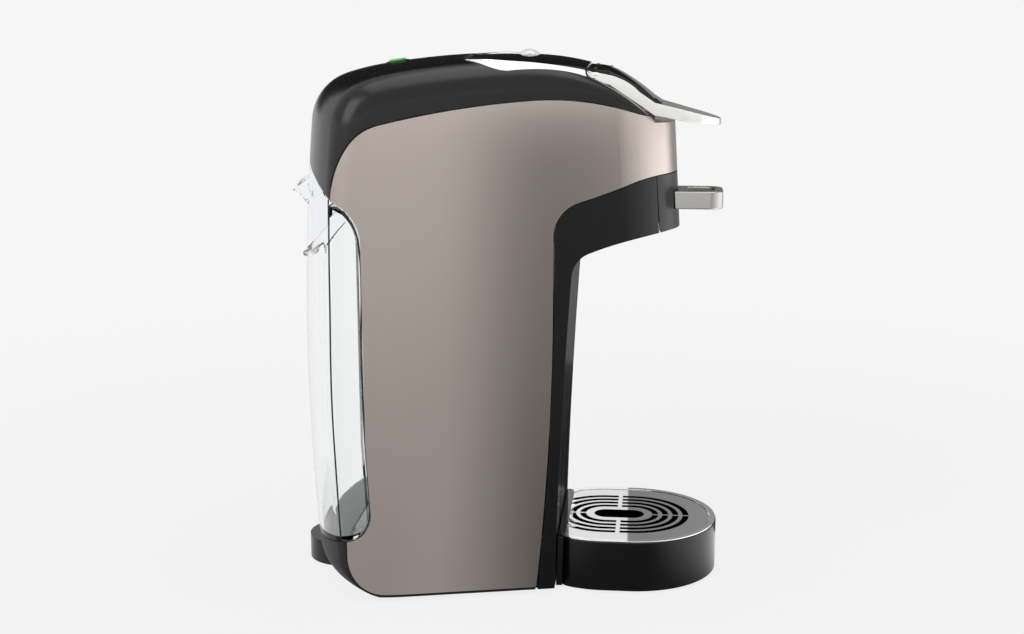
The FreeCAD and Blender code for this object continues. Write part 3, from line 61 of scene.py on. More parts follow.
# %% Colour and node helpers
def paint(code):
    """An sRGB hex code as linear light."""
    shares = [int(code[at:at + 2], 16) / 255 for at in (0, 2, 4)]
    light = [share / 12.92 if share <= 0.04045 else ((share + 0.055) / 1.055) ** 2.4 for share in shares]
    return [*light, 1.0]


def add(tree, kind, inputs=None, **settings):
    """One shader node; an input is a number, a colour or the socket that feeds it."""
    node = tree.nodes.new("ShaderNode" + kind)
    for key, value in settings.items():
        setattr(node, key, value)
    for socket, value in (inputs or {}).items():
        if isinstance(value, bpy.types.NodeSocket):
            tree.links.new(value, node.inputs[socket])
        else:
            node.inputs[socket].default_value = value
    return node


def emptied(owner):
    """The node tree of a material or a world, with nothing in it yet."""
    owner.use_nodes = True
    owner.node_tree.nodes.clear()
    return owner.node_tree


def material(name, **sockets):
    """A named material with one principled shader, and its tree and shader to build on."""
    made = bpy.data.materials.new(name)
    tree = emptied(made)
    values = {key.replace("_", " "): value for key, value in sockets.items()}
    shader = add(tree, "BsdfPrincipled", values)
    add(tree, "OutputMaterial", {"Surface": shader.outputs["BSDF"]})
    return made, tree, shader


# %% [markdown]
# No surface is perfectly even. A noise pattern could be painted on as an image; here it is a node, so it has
# a real width at any distance. It tilts the light a little and shifts the gloss between two values.

# %% Surface grain
GRAIN_DETAIL = 2.0
LUMP_LOW, LUMP_HIGH = 0.3, 0.7


def grained(made, tree, shader, lump_mm, depth_mm, gloss, stretch=(1, 1, 1)):
    """Gives a material lumps of a real width and depth, and a gloss between two values."""
    where = add(tree, "TexCoord").outputs["Object"]
    drawn = add(tree, "Mapping", {"Vector": where, "Scale": stretch}).outputs["Vector"]
    noise = add(tree, "TexNoise", {"Vector": drawn, "Scale": 1 / (lump_mm * MM), "Detail": GRAIN_DETAIL})
    lumps = noise.outputs["Fac"]
    sheen = add(tree, "MapRange", {"Value": lumps, "From Min": LUMP_LOW, "From Max": LUMP_HIGH,
                                   "To Min": gloss[0], "To Max": gloss[1]})
    tree.links.new(sheen.outputs["Result"], shader.inputs["Roughness"])
    dents = add(tree, "Bump", {"Height": lumps, "Distance": depth_mm * MM, "Strength": 1.0})
    tree.links.new(dents.outputs["Normal"], shader.inputs["Normal"])
    print(made.name, "with lumps of", lump_mm, "mm")
    return made


# %% [markdown]
# The black shell, trim and tray are ABS moulded in a spark-eroded tool, which leaves a very fine grain.
# Hidden and structural mouldings are flatter. The control panel and the lever's insert are polished. A real
# grain of this kind is finer than a pixel, so it is drawn coarser here.

# %% Black plastics
# A deep black with a soft, broad glint.
satin_abs = grained(*material("ABS_satin_black", Base_Color=paint("050506"), IOR=1.43),
                    lump_mm=0.5, depth_mm=0.006, gloss=(0.22, 0.28))
# A flat black that shows little but its outline.
matte_abs = grained(*material("ABS_matte_black", Base_Color=paint("060607"), IOR=1.42),
                    lump_mm=0.8, depth_mm=0.015, gloss=(0.5, 0.6))
# A black mirror with the slow waviness of a moulding.
gloss_pmma = grained(*material("PMMA_gloss_black", Base_Color=paint("040405"), IOR=1.49),
                     lump_mm=22, depth_mm=0.02, gloss=(0.05, 0.09))

# %% [markdown]
# The sides are aluminium sheet under a warm metallic lacquer. The flake is fine enough to read as a satin
# sheen. Flakes could be drawn one by one, but at this distance only the sheen is left of them.

# %% Metal sides
# A warm taupe that mirrors the room as soft bands.
lacquer = grained(*material("aluminium_metallic_lacquer", Base_Color=paint("B4A9A3"), Metallic=1.0),
                  lump_mm=0.25, depth_mm=0.001, gloss=(0.16, 0.2))

# %% [markdown]
# The lever is satin chrome plate over plastic and the band is left bright. The drawer's grip is satin chrome
# written darker, as painted shade, with a brushed grain. The grille is polished stainless sheet and the
# fixings are plain steel. Brushing is the same grain, drawn out along one direction.

# %% Bright metals
BRUSHED, ROLLED = (0.04, 1, 1), (0.05, 1, 1)
# A pale, slightly blurred mirror.
satin_chrome = grained(*material("chrome_plate_satin", Base_Color=paint("EEEDEB"), Metallic=1.0),
                       lump_mm=0.4, depth_mm=0.002, gloss=(0.2, 0.26))
# A sharp mirror that shows whatever is in front of it.
bright_chrome = grained(*material("chrome_plate_bright", Base_Color=paint("F2F2F3"), Metallic=1.0),
                        lump_mm=30, depth_mm=0.01, gloss=(0.03, 0.07))
# Painted shade: a darker copy of satin chrome for the drawer's grip, with a brushed grain.
grip_chrome_painted_shade = grained(*material("chrome_satin_grip_painted_shade", Base_Color=paint("B4B3B0"), Metallic=1.0),
                       lump_mm=0.3, depth_mm=0.002, gloss=(0.26, 0.34), stretch=BRUSHED)
# A clean mirror, a little darker than chrome.
stainless = grained(*material("stainless_polished", Base_Color=paint("E2E2E1"), Metallic=1.0),
                    lump_mm=0.3, depth_mm=0.001, gloss=(0.03, 0.05), stretch=ROLLED)
# A plain mid-grey glint.
steel = grained(*material("steel_plain", Base_Color=paint("9A9A9A"), Metallic=1.0),
                lump_mm=0.5, depth_mm=0.004, gloss=(0.3, 0.4))
# A dull, sandy grey.
cast_aluminium = grained(*material("aluminium_cast", Base_Color=paint("B5B5B4"), Metallic=1.0),
                         lump_mm=1.2, depth_mm=0.03, gloss=(0.45, 0.6))

# %% [markdown]
# The tank and the start button are clear SAN, a hard glass-like plastic with a faint cool tint. A thin wall
# bends light less than a solid lump, so the flap is weakest. The dark navy line that a wall seen edge-on
# shows is painted reflection, written into the colour of the tank's beads.

# %% Clear plastics
CLEAR = {"lump_mm": 40, "depth_mm": 0.03, "gloss": (0.0, 0.02)}
# Clear as a window, with bright rims.
san = grained(*material("SAN_clear", Base_Color=paint("FDFEFE"), IOR=1.13,
                        Transmission_Weight=1.0), **CLEAR)
# Fainter still, as a thin sheet is.
san_thin = grained(*material("SAN_clear_thin", Base_Color=paint("FAFBFD"), IOR=1.05,
                             Transmission_Weight=1.0), **CLEAR)
# A lens that bends what is under it.
san_cap = grained(*material("SAN_clear_cap", Base_Color=paint("FCFDFD"), IOR=1.45,
                            Transmission_Weight=1.0), **CLEAR)
# Painted reflection: the navy line of a clear wall seen along its length, written as colour.
san_painted_edge = grained(*material("SAN_painted_dark_edge", Base_Color=paint("242437"), IOR=1.45, Transmission_Weight=0.3),
                   lump_mm=8, depth_mm=0.02, gloss=(0.08, 0.14))

# %% [markdown]
# The start button is lit from below by a blue-violet lamp, and the power button's ring glows green. Each
# could have a lamp set inside it. A weak glow of its own is steadier and keeps its colour.

# %% Lit lenses
# A small violet spark under the clear cap.
blue_led = grained(*material("lamp_blue_violet", Base_Color=paint("3A34B8"), IOR=1.5,
                             Emission_Color=paint("3A34C8"), Emission_Strength=1.6),
                   lump_mm=1.5, depth_mm=0.01, gloss=(0.2, 0.3))
# A milky green that is lit from within.
lens_green = grained(*material("polycarbonate_green", Base_Color=paint("3FC23A"), IOR=1.58,
                               Transmission_Weight=0.3, Emission_Color=paint("3FC23A"),
                               Emission_Strength=0.4),
                     lump_mm=15, depth_mm=0.01, gloss=(0.15, 0.22))

# %% [markdown]
# Inside stand plain grey mouldings, hoses, rubber feet and seals, and two circuit boards under green solder
# mask. They are mostly hidden, so plain finishes do.

# %% Inner materials
# A plain technical grey.
grey_pom = grained(*material("POM_grey", Base_Color=paint("B3B3B4"), IOR=1.48),
                   lump_mm=0.8, depth_mm=0.01, gloss=(0.38, 0.48))
# A cloudy, rubbery white.
silicone_hose = grained(*material("silicone_hose", Base_Color=paint("D9D9D4"), IOR=1.41,
                                  Transmission_Weight=0.4),
                        lump_mm=1.5, depth_mm=0.01, gloss=(0.3, 0.4))
# A black that swallows the light, for the rubber parts and for the painted shadow lines of the metal sides.
rubber_and_painted_shadow = grained(*material("rubber_black_and_painted_shadow", Base_Color=paint("060606"), IOR=1.3),
                 lump_mm=0.6, depth_mm=0.02, gloss=(0.65, 0.8))
# A soft brick red, as heat-proof seals have.
seal_silicone = grained(*material("silicone_red_brown", Base_Color=paint("8A4A3E"), IOR=1.41),
                        lump_mm=0.7, depth_mm=0.01, gloss=(0.45, 0.55))
# A lacquered bottle green.
solder_mask = grained(*material("solder_mask_green", Base_Color=paint("1C5A34"), IOR=1.55),
                      lump_mm=3, depth_mm=0.02, gloss=(0.25, 0.35))

# %% [markdown]
# The record gives every node a material slot, and each slot has one finish, so parts that were moulded or
# plated alike look alike. Four nodes differ from the rest of their slot and have a finish of their own.

# %% Every CAD node takes its slot's finish
FINISHES = {
    "black_shell": satin_abs, "black_matte": matte_abs, "black_gloss": gloss_pmma, "panel_metal": lacquer,
    "satin_chrome": satin_chrome, "bright_chrome": bright_chrome, "polished_steel": stainless, "steel": steel,
    "clear_plastic": san, "green_lens": lens_green, "grey_plastic": grey_pom, "black_rubber": rubber_and_painted_shadow,
    "seal_rubber": seal_silicone, "board_green": solder_mask, "heater_aluminium": cast_aluminium,
    "clear_hose": silicone_hose,
}
# The drawer's grip takes a darker copy of satin chrome, as painted shade.
OWN_FINISH = {
    "tank_flap": san_thin, "rear_foot": satin_abs, "holder_grip": grip_chrome_painted_shade, "flap_pin": stainless,
}
SLOT_OF = {part["node"]: part["material_slot"] for part in frame["record"]["subparts"]}
FINISH_OF = {node: OWN_FINISH.get(node, FINISHES[slot]) for node, slot in SLOT_OF.items()}
for node, finish in FINISH_OF.items():
    mesh = frame["nodes"][node].data
    mesh.materials.clear()
    mesh.materials.append(finish)
print("finishes", len(FINISHES), "on", len(FINISH_OF), "nodes")

# %% [markdown]
# Every new piece ends the same way: its doubles are merged, its faces are shaded smooth and it becomes an
# object that rides on a body. A weighted normal keeps flat faces looking flat beside their round edges.

# %% Pieces
WELD = 2e-6


def linked(name, shape, finish):
    """The shape as a mesh object in the scene, with one finish."""
    mesh = bpy.data.meshes.new(name)
    shape.to_mesh(mesh)
    shape.free()
    mesh.materials.append(finish)
    made = bpy.data.objects.new(name, mesh)
    bpy.context.collection.objects.link(made)
    return made


def piece(name, shape, body, finish):
    """The finished mesh as an object that rides on a body and takes a finish."""
    bmesh.ops.remove_doubles(shape, verts=shape.verts, dist=WELD)
    for face in shape.faces:
        face.smooth = True
    made = linked(name, shape, finish)
    weighted = made.modifiers.new("even_faces", "WEIGHTED_NORMAL")
    weighted.keep_sharp = True
    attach(made, body)
    print(name, len(made.data.polygons), "faces on", body)
    return made


# %% [markdown]
# Plated and moulded edges are never knife-sharp: a small radius catches the light as a bright line. Each
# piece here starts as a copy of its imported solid. The triangles of a flat face are joined, the sharp edges
# are bevelled round, and the copy stands for the solid.

# %% Rounded copies
FLAT, SHARP = math.radians(0.8), math.radians(38)
ARC_STEPS = 3
EDGE_RADIUS_MM = {"lever_frame": 0.6, "holder_grip": 0.9, "tray_rim": 0.25, "drip_tray": 0.6}
BODIES = frame["record"]["behaviour"]["bodies"]
BODY_OF = {node: body for body, nodes in BODIES.items() for node in nodes}


def joined_copy(node):
    """The node's mesh with its seams welded and each flat face in one piece."""
    shape = bmesh.new()
    shape.from_mesh(frame["nodes"][node].data)
    bmesh.ops.remove_doubles(shape, verts=shape.verts, dist=WELD)
    bmesh.ops.dissolve_limit(shape, angle_limit=FLAT, verts=shape.verts, edges=shape.edges)
    return shape


def bevelled(shape, edges, radius_mm):
    """Rounds those edges of a shape."""
    bmesh.ops.bevel(shape, geom=edges, offset=radius_mm * MM, offset_type="OFFSET", affect="EDGES",
                    segments=ARC_STEPS, profile=0.5, material=-1)


def round_edges(shape, radius_mm):
    """Bevels every sharp edge to a radius."""
    bevelled(shape, [edge for edge in shape.edges if edge.calc_face_angle(0) > SHARP], radius_mm)


for node, radius in EDGE_RADIUS_MM.items():
    shape = joined_copy(node)
    round_edges(shape, radius)
    made = piece(node + "_rounded", shape, BODY_OF[node], FINISH_OF[node])
    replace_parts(made, node)

# %% [markdown]
# The fixed band runs into the shell at its rear, so its copy is eased down there. Its outer face stands a
# little proud of the shell, which shows as a broader bright strip, and then the edges are rounded.

# %% Band
BAND_REAR, BAND_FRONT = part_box("band_rear")[0].x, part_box("band_rear")[1].x
EASE_FROM, EASE_BY = -4 * MM, 1.5 * MM
PROUD_REAR, PROUD_FRONT, OUTWARD = 1.2 * MM, 2.4 * MM, 0.2
BAND_RADIUS_MM = 0.5
shape = joined_copy("band_rear")
shape.normal_update()
for vert in shape.verts:
    side = math.copysign(1, vert.co.y)
    if vert.normal.y * side > OUTWARD:
        ahead = (vert.co.x - BAND_REAR) / (BAND_FRONT - BAND_REAR)
        vert.co.y += (PROUD_REAR + (PROUD_FRONT - PROUD_REAR) * ahead) * side
    share = min(max((vert.co.x - EASE_FROM) / (BAND_REAR - EASE_FROM), 0), 1)
    vert.co.z -= EASE_BY * share * share * (3 - 2 * share)
round_edges(shape, BAND_RADIUS_MM)
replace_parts(piece("band_rounded", shape, "housing", bright_chrome), "band_rear")

# %% [markdown]
# The start button is a hollow clear cap over a black plunger, with a small blue-violet lamp under the cap.
# Cap, plunger and lamp are turned parts. A lathe is the natural way to make them, so each is a profile spun
# about the button's axis.

# %% Turned parts
def traced(spots):
    """A new shape with one open line through the spots, and the corners and edges of that line."""
    shape = bmesh.new()
    corners = [shape.verts.new(spot) for spot in spots]
    edges = [shape.edges.new(pair) for pair in zip(corners, corners[1:])]
    return shape, corners, edges


def spun(profile_mm, axis_x, steps=64):
    """A closed turned shape from (radius, height) points, in millimetres."""
    spots = [(axis_x + radius * MM, 0, height * MM) for radius, height in profile_mm]
    shape, corners, edges = traced(spots)
    bmesh.ops.spin(shape, geom=corners + edges, cent=(axis_x, 0, 0), axis=(0, 0, 1), angle=math.tau,
                   steps=steps, use_merge=True)
    bmesh.ops.remove_doubles(shape, verts=shape.verts, dist=WELD)
    bmesh.ops.recalc_face_normals(shape, faces=shape.faces)
    return shape


# %% [markdown]
# The clear cap is a shallow dome with a short skirt. Its outer and inner faces are two arcs about one
# centre, worked out from the width of the button and the height of the dome.

# %% Start button's cap
CAP_RIM, CAP_SKIRT, CAP_WALL, CAP_STEPS = 318.0, 1.6, 0.7, 10
button_low, button_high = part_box("start_button")
button_x = (button_low.x + button_high.x) / 2
cap_r = (button_high.x - button_low.x) / 2 / MM
cap_top = button_high.z / MM
sphere_r = (cap_r ** 2 + (cap_top - CAP_RIM) ** 2) / (2 * (cap_top - CAP_RIM))
spread = math.asin(cap_r / sphere_r)


def cap_arc(inset):
    """Points of the cap's arc from its middle to its rim, that far inside the outer face."""
    turns = [spread * step / CAP_STEPS for step in range(CAP_STEPS + 1)]
    radius = sphere_r - inset
    return [(radius * math.sin(turn), cap_top - sphere_r + radius * math.cos(turn)) for turn in turns]


cap_foot = [(cap_r, CAP_RIM - CAP_SKIRT), (cap_r - CAP_WALL, CAP_RIM - CAP_SKIRT)]
cap = spun(cap_arc(0) + cap_foot + cap_arc(CAP_WALL)[::-1], button_x)
cap_piece = piece("start_cap", cap, "start_key", san_cap)
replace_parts(cap_piece, "start_button")

# %% [markdown]
# Under the cap the plunger ends in a flat black face with a rounded edge, and the lamp stands on it as a
# small bulb. Both are profiles of radius and height, from the middle of the top down.

# %% Start button's plunger and lamp
LAMP_STEPS = 32
plunger_foot = button_low.z / MM
plunger_mm = [(0, 316.9), (5.2, 316.9), (5.6, 316.7), (5.75, 316.3), (5.75, plunger_foot), (0, plunger_foot)]
lamp_mm = [(0, 319.1), (1.2, 319.0), (2.0, 318.5), (2.3, 317.6), (2.3, 316.8), (0, 316.8)]
piece("start_plunger", spun(plunger_mm, button_x), "start_key", matte_abs)
piece("start_lamp", spun(lamp_mm, button_x, LAMP_STEPS), "start_key", blue_led)

# %% [markdown]
# The power button is a black cap set in a ring that glows green, tilted to lie on the falling top of the
# shell. It is turned upright at the origin, where a profile is easy to read, and then laid on the shell.

# %% Power button
POWER_TILT, POWER_R = math.radians(8.4), 7.0
COLLAR_MM = [(0, -1.5), (5.2, -1.5), (5.2, -0.9), (6.5, -1.0), (6.9, -1.2), (POWER_R, -1.6),
             (POWER_R, -6.0), (0, -6.0)]
RING_MM = [(4.0, -1.5), (4.0, -0.35), (4.2, -0.1), (4.6, 0.0), (5.0, -0.15), (5.2, -0.5), (5.2, -1.5),
           (4.0, -1.5)]
CAP_MM = [(0, -0.45), (3.4, -0.5), (3.8, -0.65), (4.0, -1.0), (4.0, -1.5), (0, -1.5)]
power_low, power_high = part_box("power_button")
power_x = power_low.x + POWER_R * MM * math.cos(POWER_TILT)
power_z = power_high.z - POWER_R * MM * math.sin(POWER_TILT)


def laid_on_shell(shape):
    """Tilts a part turned at the origin and sets it where the button's face is."""
    bmesh.ops.rotate(shape, cent=(0, 0, 0), matrix=Matrix.Rotation(-POWER_TILT, 3, "Y"), verts=shape.verts)
    bmesh.ops.translate(shape, vec=Vector((power_x, 0, power_z)), verts=shape.verts)
    return shape


collar = laid_on_shell(spun(COLLAR_MM, 0))
collar_piece = piece("power_collar", collar, "power_key", satin_abs)
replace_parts(collar_piece, "power_button")
piece("power_ring", laid_on_shell(spun(RING_MM, 0)), "power_key", lens_green)
piece("power_cap", laid_on_shell(spun(CAP_MM, 0)), "power_key", satin_abs)

# %% [markdown]
# Behind the tray sits the flat carriage that its hooks grow from. Its plate closes the daylight between tray
# and column, and its black lip lies over the rear of the tray's rim. Plate and lip are boxes with bevelled
# corners, and the plate leans with the column.

# %% Tray carriage
PLATE_REAR, PLATE_FRONT, PLATE_HALF, PLATE_FOOT, PLATE_UNDER_RIM = 33.5, 37.2, 47.5, 1.6, 0.6
LIP_HALF, LIP_SET_IN, LIP_TO_GRILLE, LIP_DOWN, LIP_UP = 43.0, 0.1, 0.3, 1.4, 0.25
CARRIAGE_RADIUS_MM, LEAN = 0.3, 0.0245
grille_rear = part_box("drip_grille")[0].x / MM
rim_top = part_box("tray_rim")[1].z / MM


def block(low_mm, high_mm, radius_mm):
    """A box between two corners with every edge bevelled round."""
    low, high = Vector(low_mm) * MM, Vector(high_mm) * MM
    shape = bmesh.new()
    bmesh.ops.create_cube(shape, size=1.0)
    bmesh.ops.scale(shape, vec=high - low, verts=shape.verts)
    bmesh.ops.translate(shape, vec=(low + high) / 2, verts=shape.verts)
    bevelled(shape, shape.edges[:], radius_mm)
    return shape


plate_low = (PLATE_REAR, -PLATE_HALF, PLATE_FOOT)
plate_high = (PLATE_FRONT, PLATE_HALF, rim_top - PLATE_UNDER_RIM)
plate = block(plate_low, plate_high, CARRIAGE_RADIUS_MM)
for vert in plate.verts:
    vert.co.x += LEAN * vert.co.z
piece("tray_carriage", plate, "tray", satin_abs)
lip_low = (PLATE_REAR + LEAN * rim_top + LIP_SET_IN, -LIP_HALF, rim_top - LIP_DOWN)
lip_high = (grille_rear - LIP_TO_GRILLE, LIP_HALF, rim_top + LIP_UP)
lip = block(lip_low, lip_high, CARRIAGE_RADIUS_MM)
piece("tray_carriage_lip", lip, "tray", gloss_pmma)
print("grille starts at", round(grille_rear, 2), "mm, rim top", round(rim_top, 2), "mm")

# %% [markdown]
# A thin bead runs round each side window of the clear tank. Its navy colour is painted reflection: the bold
# line that a clear wall shows seen along its length, which is most of what the eye reads as a tank. It is one
# rounded path inside the wall, swept as a curve and turned into a mesh, with a twin on the far side.

# %% Tank beads in painted reflection
SIDES = (("right", -1), ("left", 1))
SWEEP_ROUND, SWEEP_STEPS = 4, 10
BEAD_R = 0.55 * MM
CORNER_MM = [(-95.4, 74.0, 235.0), (-95.7, 75.3, 210.0), (-95.8, 75.7, 181.0), (-96.0, 75.9, 121.0),
             (-94.2, 75.7, 72.0), (-92.6, 76.2, 37.4)]
JAMB_MM = [(-94.6, 75.2, 235.3), (-90.2, 77.6, 235.2), (-85.2, 78.6, 231.2), (-79.8, 78.7, 222.5),
           (-77.7, 78.7, 212.0), (-77.5, 78.7, 150.0), (-76.4, 78.7, 96.0), (-74.6, 78.7, 62.0),
           (-75.0, 78.7, 50.0), (-79.5, 78.7, 41.0), (-85.8, 78.3, 37.0), (-92.4, 76.4, 36.8)]


def swept(name, points_mm, radius, body, finish):
    """A round bead along a smooth path, as a mesh."""
    path = bpy.data.curves.new(name + "_path", "CURVE")
    path.dimensions = "3D"
    path.bevel_depth = radius
    path.bevel_resolution, path.resolution_u = SWEEP_ROUND, SWEEP_STEPS
    path.use_fill_caps = True
    line = path.splines.new("BEZIER")
    line.bezier_points.add(len(points_mm) - 1)
    for point, spot in zip(line.bezier_points, points_mm):
        point.co = Vector(spot) * MM
        point.handle_left_type = point.handle_right_type = "AUTO"
    drawn = bpy.data.objects.new(name + "_path", path)
    shape = bmesh.new()
    shape.from_mesh(bpy.data.meshes.new_from_object(drawn))
    bpy.data.objects.remove(drawn)
    bmesh.ops.recalc_face_normals(shape, faces=shape.faces)
    return piece(name, shape, body, finish)


# Each bead carries the painted navy reflection of a clear wall seen edge-on.
for side, sign in SIDES:
    for name, path in (("tank_corner_bead_", CORNER_MM), ("tank_window_bead_", JAMB_MM)):
        swept(name + side, [(x, y * sign, z) for x, y, z in path], BEAD_R, "tank", san_painted_edge)

# %% [markdown]
# Small closing pieces: a soft lip fills the seam behind the drawer's front, a black skirt under the lever's
# insert hides the hinge between the insert and the chrome loop, and a plated plug closes the bore that the
# pin went in by. The lip follows the seam as a bead, and the others are small blocks.

# %% Closing pieces
SEAM_MM = [(92.22, 217.4), (91.95, 220.5), (91.78, 222.8), (91.05, 231.0), (90.5, 240.0), (89.85, 249.5)]
SEAM_HALF, SEAM_R = 28.2, 0.25 * MM
# Rear and front, inner and outer, bottom and top of a block on the left, then its edge radius.
SKIRT_MM = ((50.8, 61.5), (17.0, 30.5), (308.3, 310.9), 0.5)
PLUG_MM = ((51.0, 55.2), (31.0, 34.3), (308.0, 309.9), 0.3)


def sided_block(sizes_mm, sign):
    """A block that stands on the left or, with a sign of -1, mirrored on the right."""
    (rear, front), across, (bottom, top), radius = sizes_mm
    low, high = sorted(place * sign for place in across)
    return block((rear, low, bottom), (front, high, top), radius)


for side, sign in SIDES:
    seam = [(x, SEAM_HALF * sign, z) for x, z in SEAM_MM]
    swept("drawer_lip_" + side, seam, SEAM_R, "pod_drawer", rubber_and_painted_shadow)
for side, sign in SIDES:
    piece("lever_skirt_" + side, sided_block(SKIRT_MM, sign), "lever", matte_abs)
for side, sign in SIDES:
    piece("lever_plug_" + side, sided_block(PLUG_MM, sign), "lever", satin_chrome)

# %% [markdown]
# A thin shadow line parts the black shell from each metal side. It is painted shadow: a black bead laid
# along the seam. Its path could be drawn by hand, but here it is felt out: from a point inside the metal, the
# seam is where a look along Y stops meeting metal. The bead lies there on the skin of the shell.

# %% Painted shadow lines of the sides
SHADOW_LINE_R, SHADOW_LINE_STEPS, LOOK_FROM = 0.5 * MM, 40, 0.3
SHADOW_LINE_FROM, SHADOW_LINE_TO = math.radians(51), math.radians(134)
SHADOW_LINE_CENTRE = Vector((-0.02, 0, 0.17))
ON_METAL, OFF_METAL, TO_SHELL = 0.02, 0.25, 0.5 * MM


def skin(node, spot, sign):
    """Where a look along Y through the spot meets the node, or nothing."""
    look_from = Vector((spot.x, sign * LOOK_FROM, spot.z))
    met, hit, _, _ = frame["nodes"][node].ray_cast(look_from, Vector((0, -sign, 0)))
    return hit if met else None


def metal_ends(node, way, sign):
    """How far out from the centre the metal reaches that way, found by halving."""
    near, far = ON_METAL, OFF_METAL
    while far - near > WELD:
        half = (near + far) / 2
        near, far = (half, far) if skin(node, SHADOW_LINE_CENTRE + way * half, sign) else (near, half)
    return near


# Each side gets a black bead of painted shadow along its seam with the shell.
for side, sign in SIDES:
    path = []
    for step in range(SHADOW_LINE_STEPS + 1):
        turn = SHADOW_LINE_FROM + (SHADOW_LINE_TO - SHADOW_LINE_FROM) * step / SHADOW_LINE_STEPS
        way = Vector((math.cos(turn), 0, math.sin(turn)))
        reach = metal_ends(side + "_panel", way, sign) + TO_SHELL
        on_shell = skin("top_shell", SHADOW_LINE_CENTRE + way * reach, sign)
        if on_shell:
            path.append(on_shell / MM)
    swept(side + "_panel_shadow_line", path, SHADOW_LINE_R, "housing", rubber_and_painted_shadow)

# %% [markdown]
# The picture is a studio shot on a white sweep. The floor glows with the backdrop's own colour and takes a
# share of the light, so it keeps a soft shadow near the machine and runs into the backdrop further out.

# %% Floor
BACKDROP = paint("F6F6F6")
FLOOR_RADIUS, FLOOR_SIDES, FLOOR_DROP = 4.0, 96, 0.3 * MM
SHADOW_NEAR, SHADOW_FAR, GLOW_SHARE = 0.25, 0.9, 0.9
sweep = bpy.data.materials.new("paper_sweep")
tree = emptied(sweep)
where = add(tree, "TexCoord").outputs["Object"]
away = add(tree, "VectorMath", {0: where}, operation="LENGTH").outputs["Value"]
share = add(tree, "MapRange", {"Value": away, "From Min": SHADOW_NEAR, "From Max": SHADOW_FAR,
                               "To Min": GLOW_SHARE, "To Max": 1.0}, interpolation_type="SMOOTHSTEP")
lit = add(tree, "BsdfDiffuse", {"Color": BACKDROP})
glow = add(tree, "Emission", {"Color": BACKDROP, "Strength": 1.0})
blend = add(tree, "MixShader", {"Fac": share.outputs["Result"], 1: lit.outputs["BSDF"],
                                2: glow.outputs["Emission"]})
add(tree, "OutputMaterial", {"Surface": blend.outputs["Shader"]})
plan = bmesh.new()
bmesh.ops.create_circle(plan, cap_ends=True, segments=FLOOR_SIDES, radius=FLOOR_RADIUS)
bmesh.ops.translate(plan, vec=Vector((0, 0, -FLOOR_DROP)), verts=plan.verts)
floor = linked("floor", plan, sweep)
print("floor", FLOOR_RADIUS, "m round the machine")

# %% [markdown]
# The camera, mirrors and clear plastic see the backdrop as plain white paper. As a source of light it is
# weaker, so that the softboxes shape the machine.

# %% Backdrop
ROOM_LIGHT = 0.45
world = bpy.data.worlds.new("studio")
bpy.context.scene.world = world
tree = emptied(world)
rays = add(tree, "LightPath").outputs
seen = add(tree, "Math", {0: rays["Is Camera Ray"], 1: rays["Is Glossy Ray"]}, operation="ADD")
seen = add(tree, "Math", {0: seen.outputs["Value"], 1: rays["Is Transmission Ray"]}, operation="ADD",
           use_clamp=True)
soft = add(tree, "Background", {"Color": BACKDROP, "Strength": ROOM_LIGHT})
shown = add(tree, "Background", {"Color": BACKDROP, "Strength": 1.0})
blend = add(tree, "MixShader", {"Fac": seen.outputs["Value"], 1: soft.outputs["Background"],
                                2: shown.outputs["Background"]})
add(tree, "OutputWorld", {"Surface": blend.outputs["Shader"]})
print("backdrop lights the machine at", ROOM_LIGHT)

# %% [markdown]
# A wide softbox stands at the left and another hangs overhead. They light the black shell and the chrome.
# Small lamps would leave hard spots on the plating, and a broad one leaves a calm band.

# %% Lamps
AIM = Vector((0, 0, 0.16))


def lamp(name, spot, size, watts):
    """A rectangular softbox facing the machine."""
    light = bpy.data.lights.new(name, "AREA")
    light.shape = "RECTANGLE"
    light.size, light.size_y = size
    light.energy = watts
    stand = bpy.data.objects.new(name, light)
    stand.location = spot
    stand.rotation_euler = (AIM - Vector(spot)).to_track_quat("-Z", "Y").to_euler()
    bpy.context.collection.objects.link(stand)
    print(name, watts, "W")


lamp("softbox_left", spot=(-1.1, -1.3, 1.0), size=(1.0, 1.4), watts=11)
lamp("softbox_top", spot=(0.1, -0.1, 1.7), size=(1.4, 1.2), watts=8)

# %% [markdown]
# A metal side is only as good as what it mirrors, so the photographer bends a graduated card round the
# front: pale towards the left, grey where the side should darken, and bright round by the nose. Its tones
# are a colour ramp across the card, from one end to the other.

# %% Tones across the card
TOP_TONE = 2.1
# Millimetres across the card from the machine's middle, then how bright it is there.
TONES = [(-400, 0.9), (-98, 0.92), (-62, 1.0), (-41, 0.81), (-20, 0.56), (5, 0.32), (60, 0.28), (90, 0.46),
         (125, 0.57), (201, 0.76), (370, 1.09), (492, 1.67), (557, 2.0), (760, TOP_TONE)]
LEFT, RIGHT = TONES[0][0] * MM, TONES[-1][0] * MM
ACROSS_TURN = math.radians(22)
ACROSS = Vector((math.cos(ACROSS_TURN), math.sin(ACROSS_TURN), 0))
graded = bpy.data.materials.new("card_graduated")
tree = emptied(graded)
where = add(tree, "TexCoord").outputs["Object"]
reach = add(tree, "VectorMath", {0: where, 1: ACROSS}, operation="DOT_PRODUCT").outputs["Value"]
along = add(tree, "MapRange", {"Value": reach, "From Min": LEFT, "From Max": RIGHT})
ramp = add(tree, "ValToRGB", {"Fac": along.outputs["Result"]})
stops = ramp.color_ramp.elements
for place, _ in TONES[1:-1]:
    stops.new((place * MM - LEFT) / (RIGHT - LEFT))
for stop, (_, tone) in zip(stops, TONES):
    stop.color = [tone / TOP_TONE] * 3 + [1.0]
print("card tones", len(stops))

# %% [markdown]
# The card is not evenly lit. It is weaker close to its foot and gains with height, ends in a pale edge at
# the top, and dims where it turns away past the nose. The part that lies ahead of the column is lit
# strongly, because the tray mirrors it.

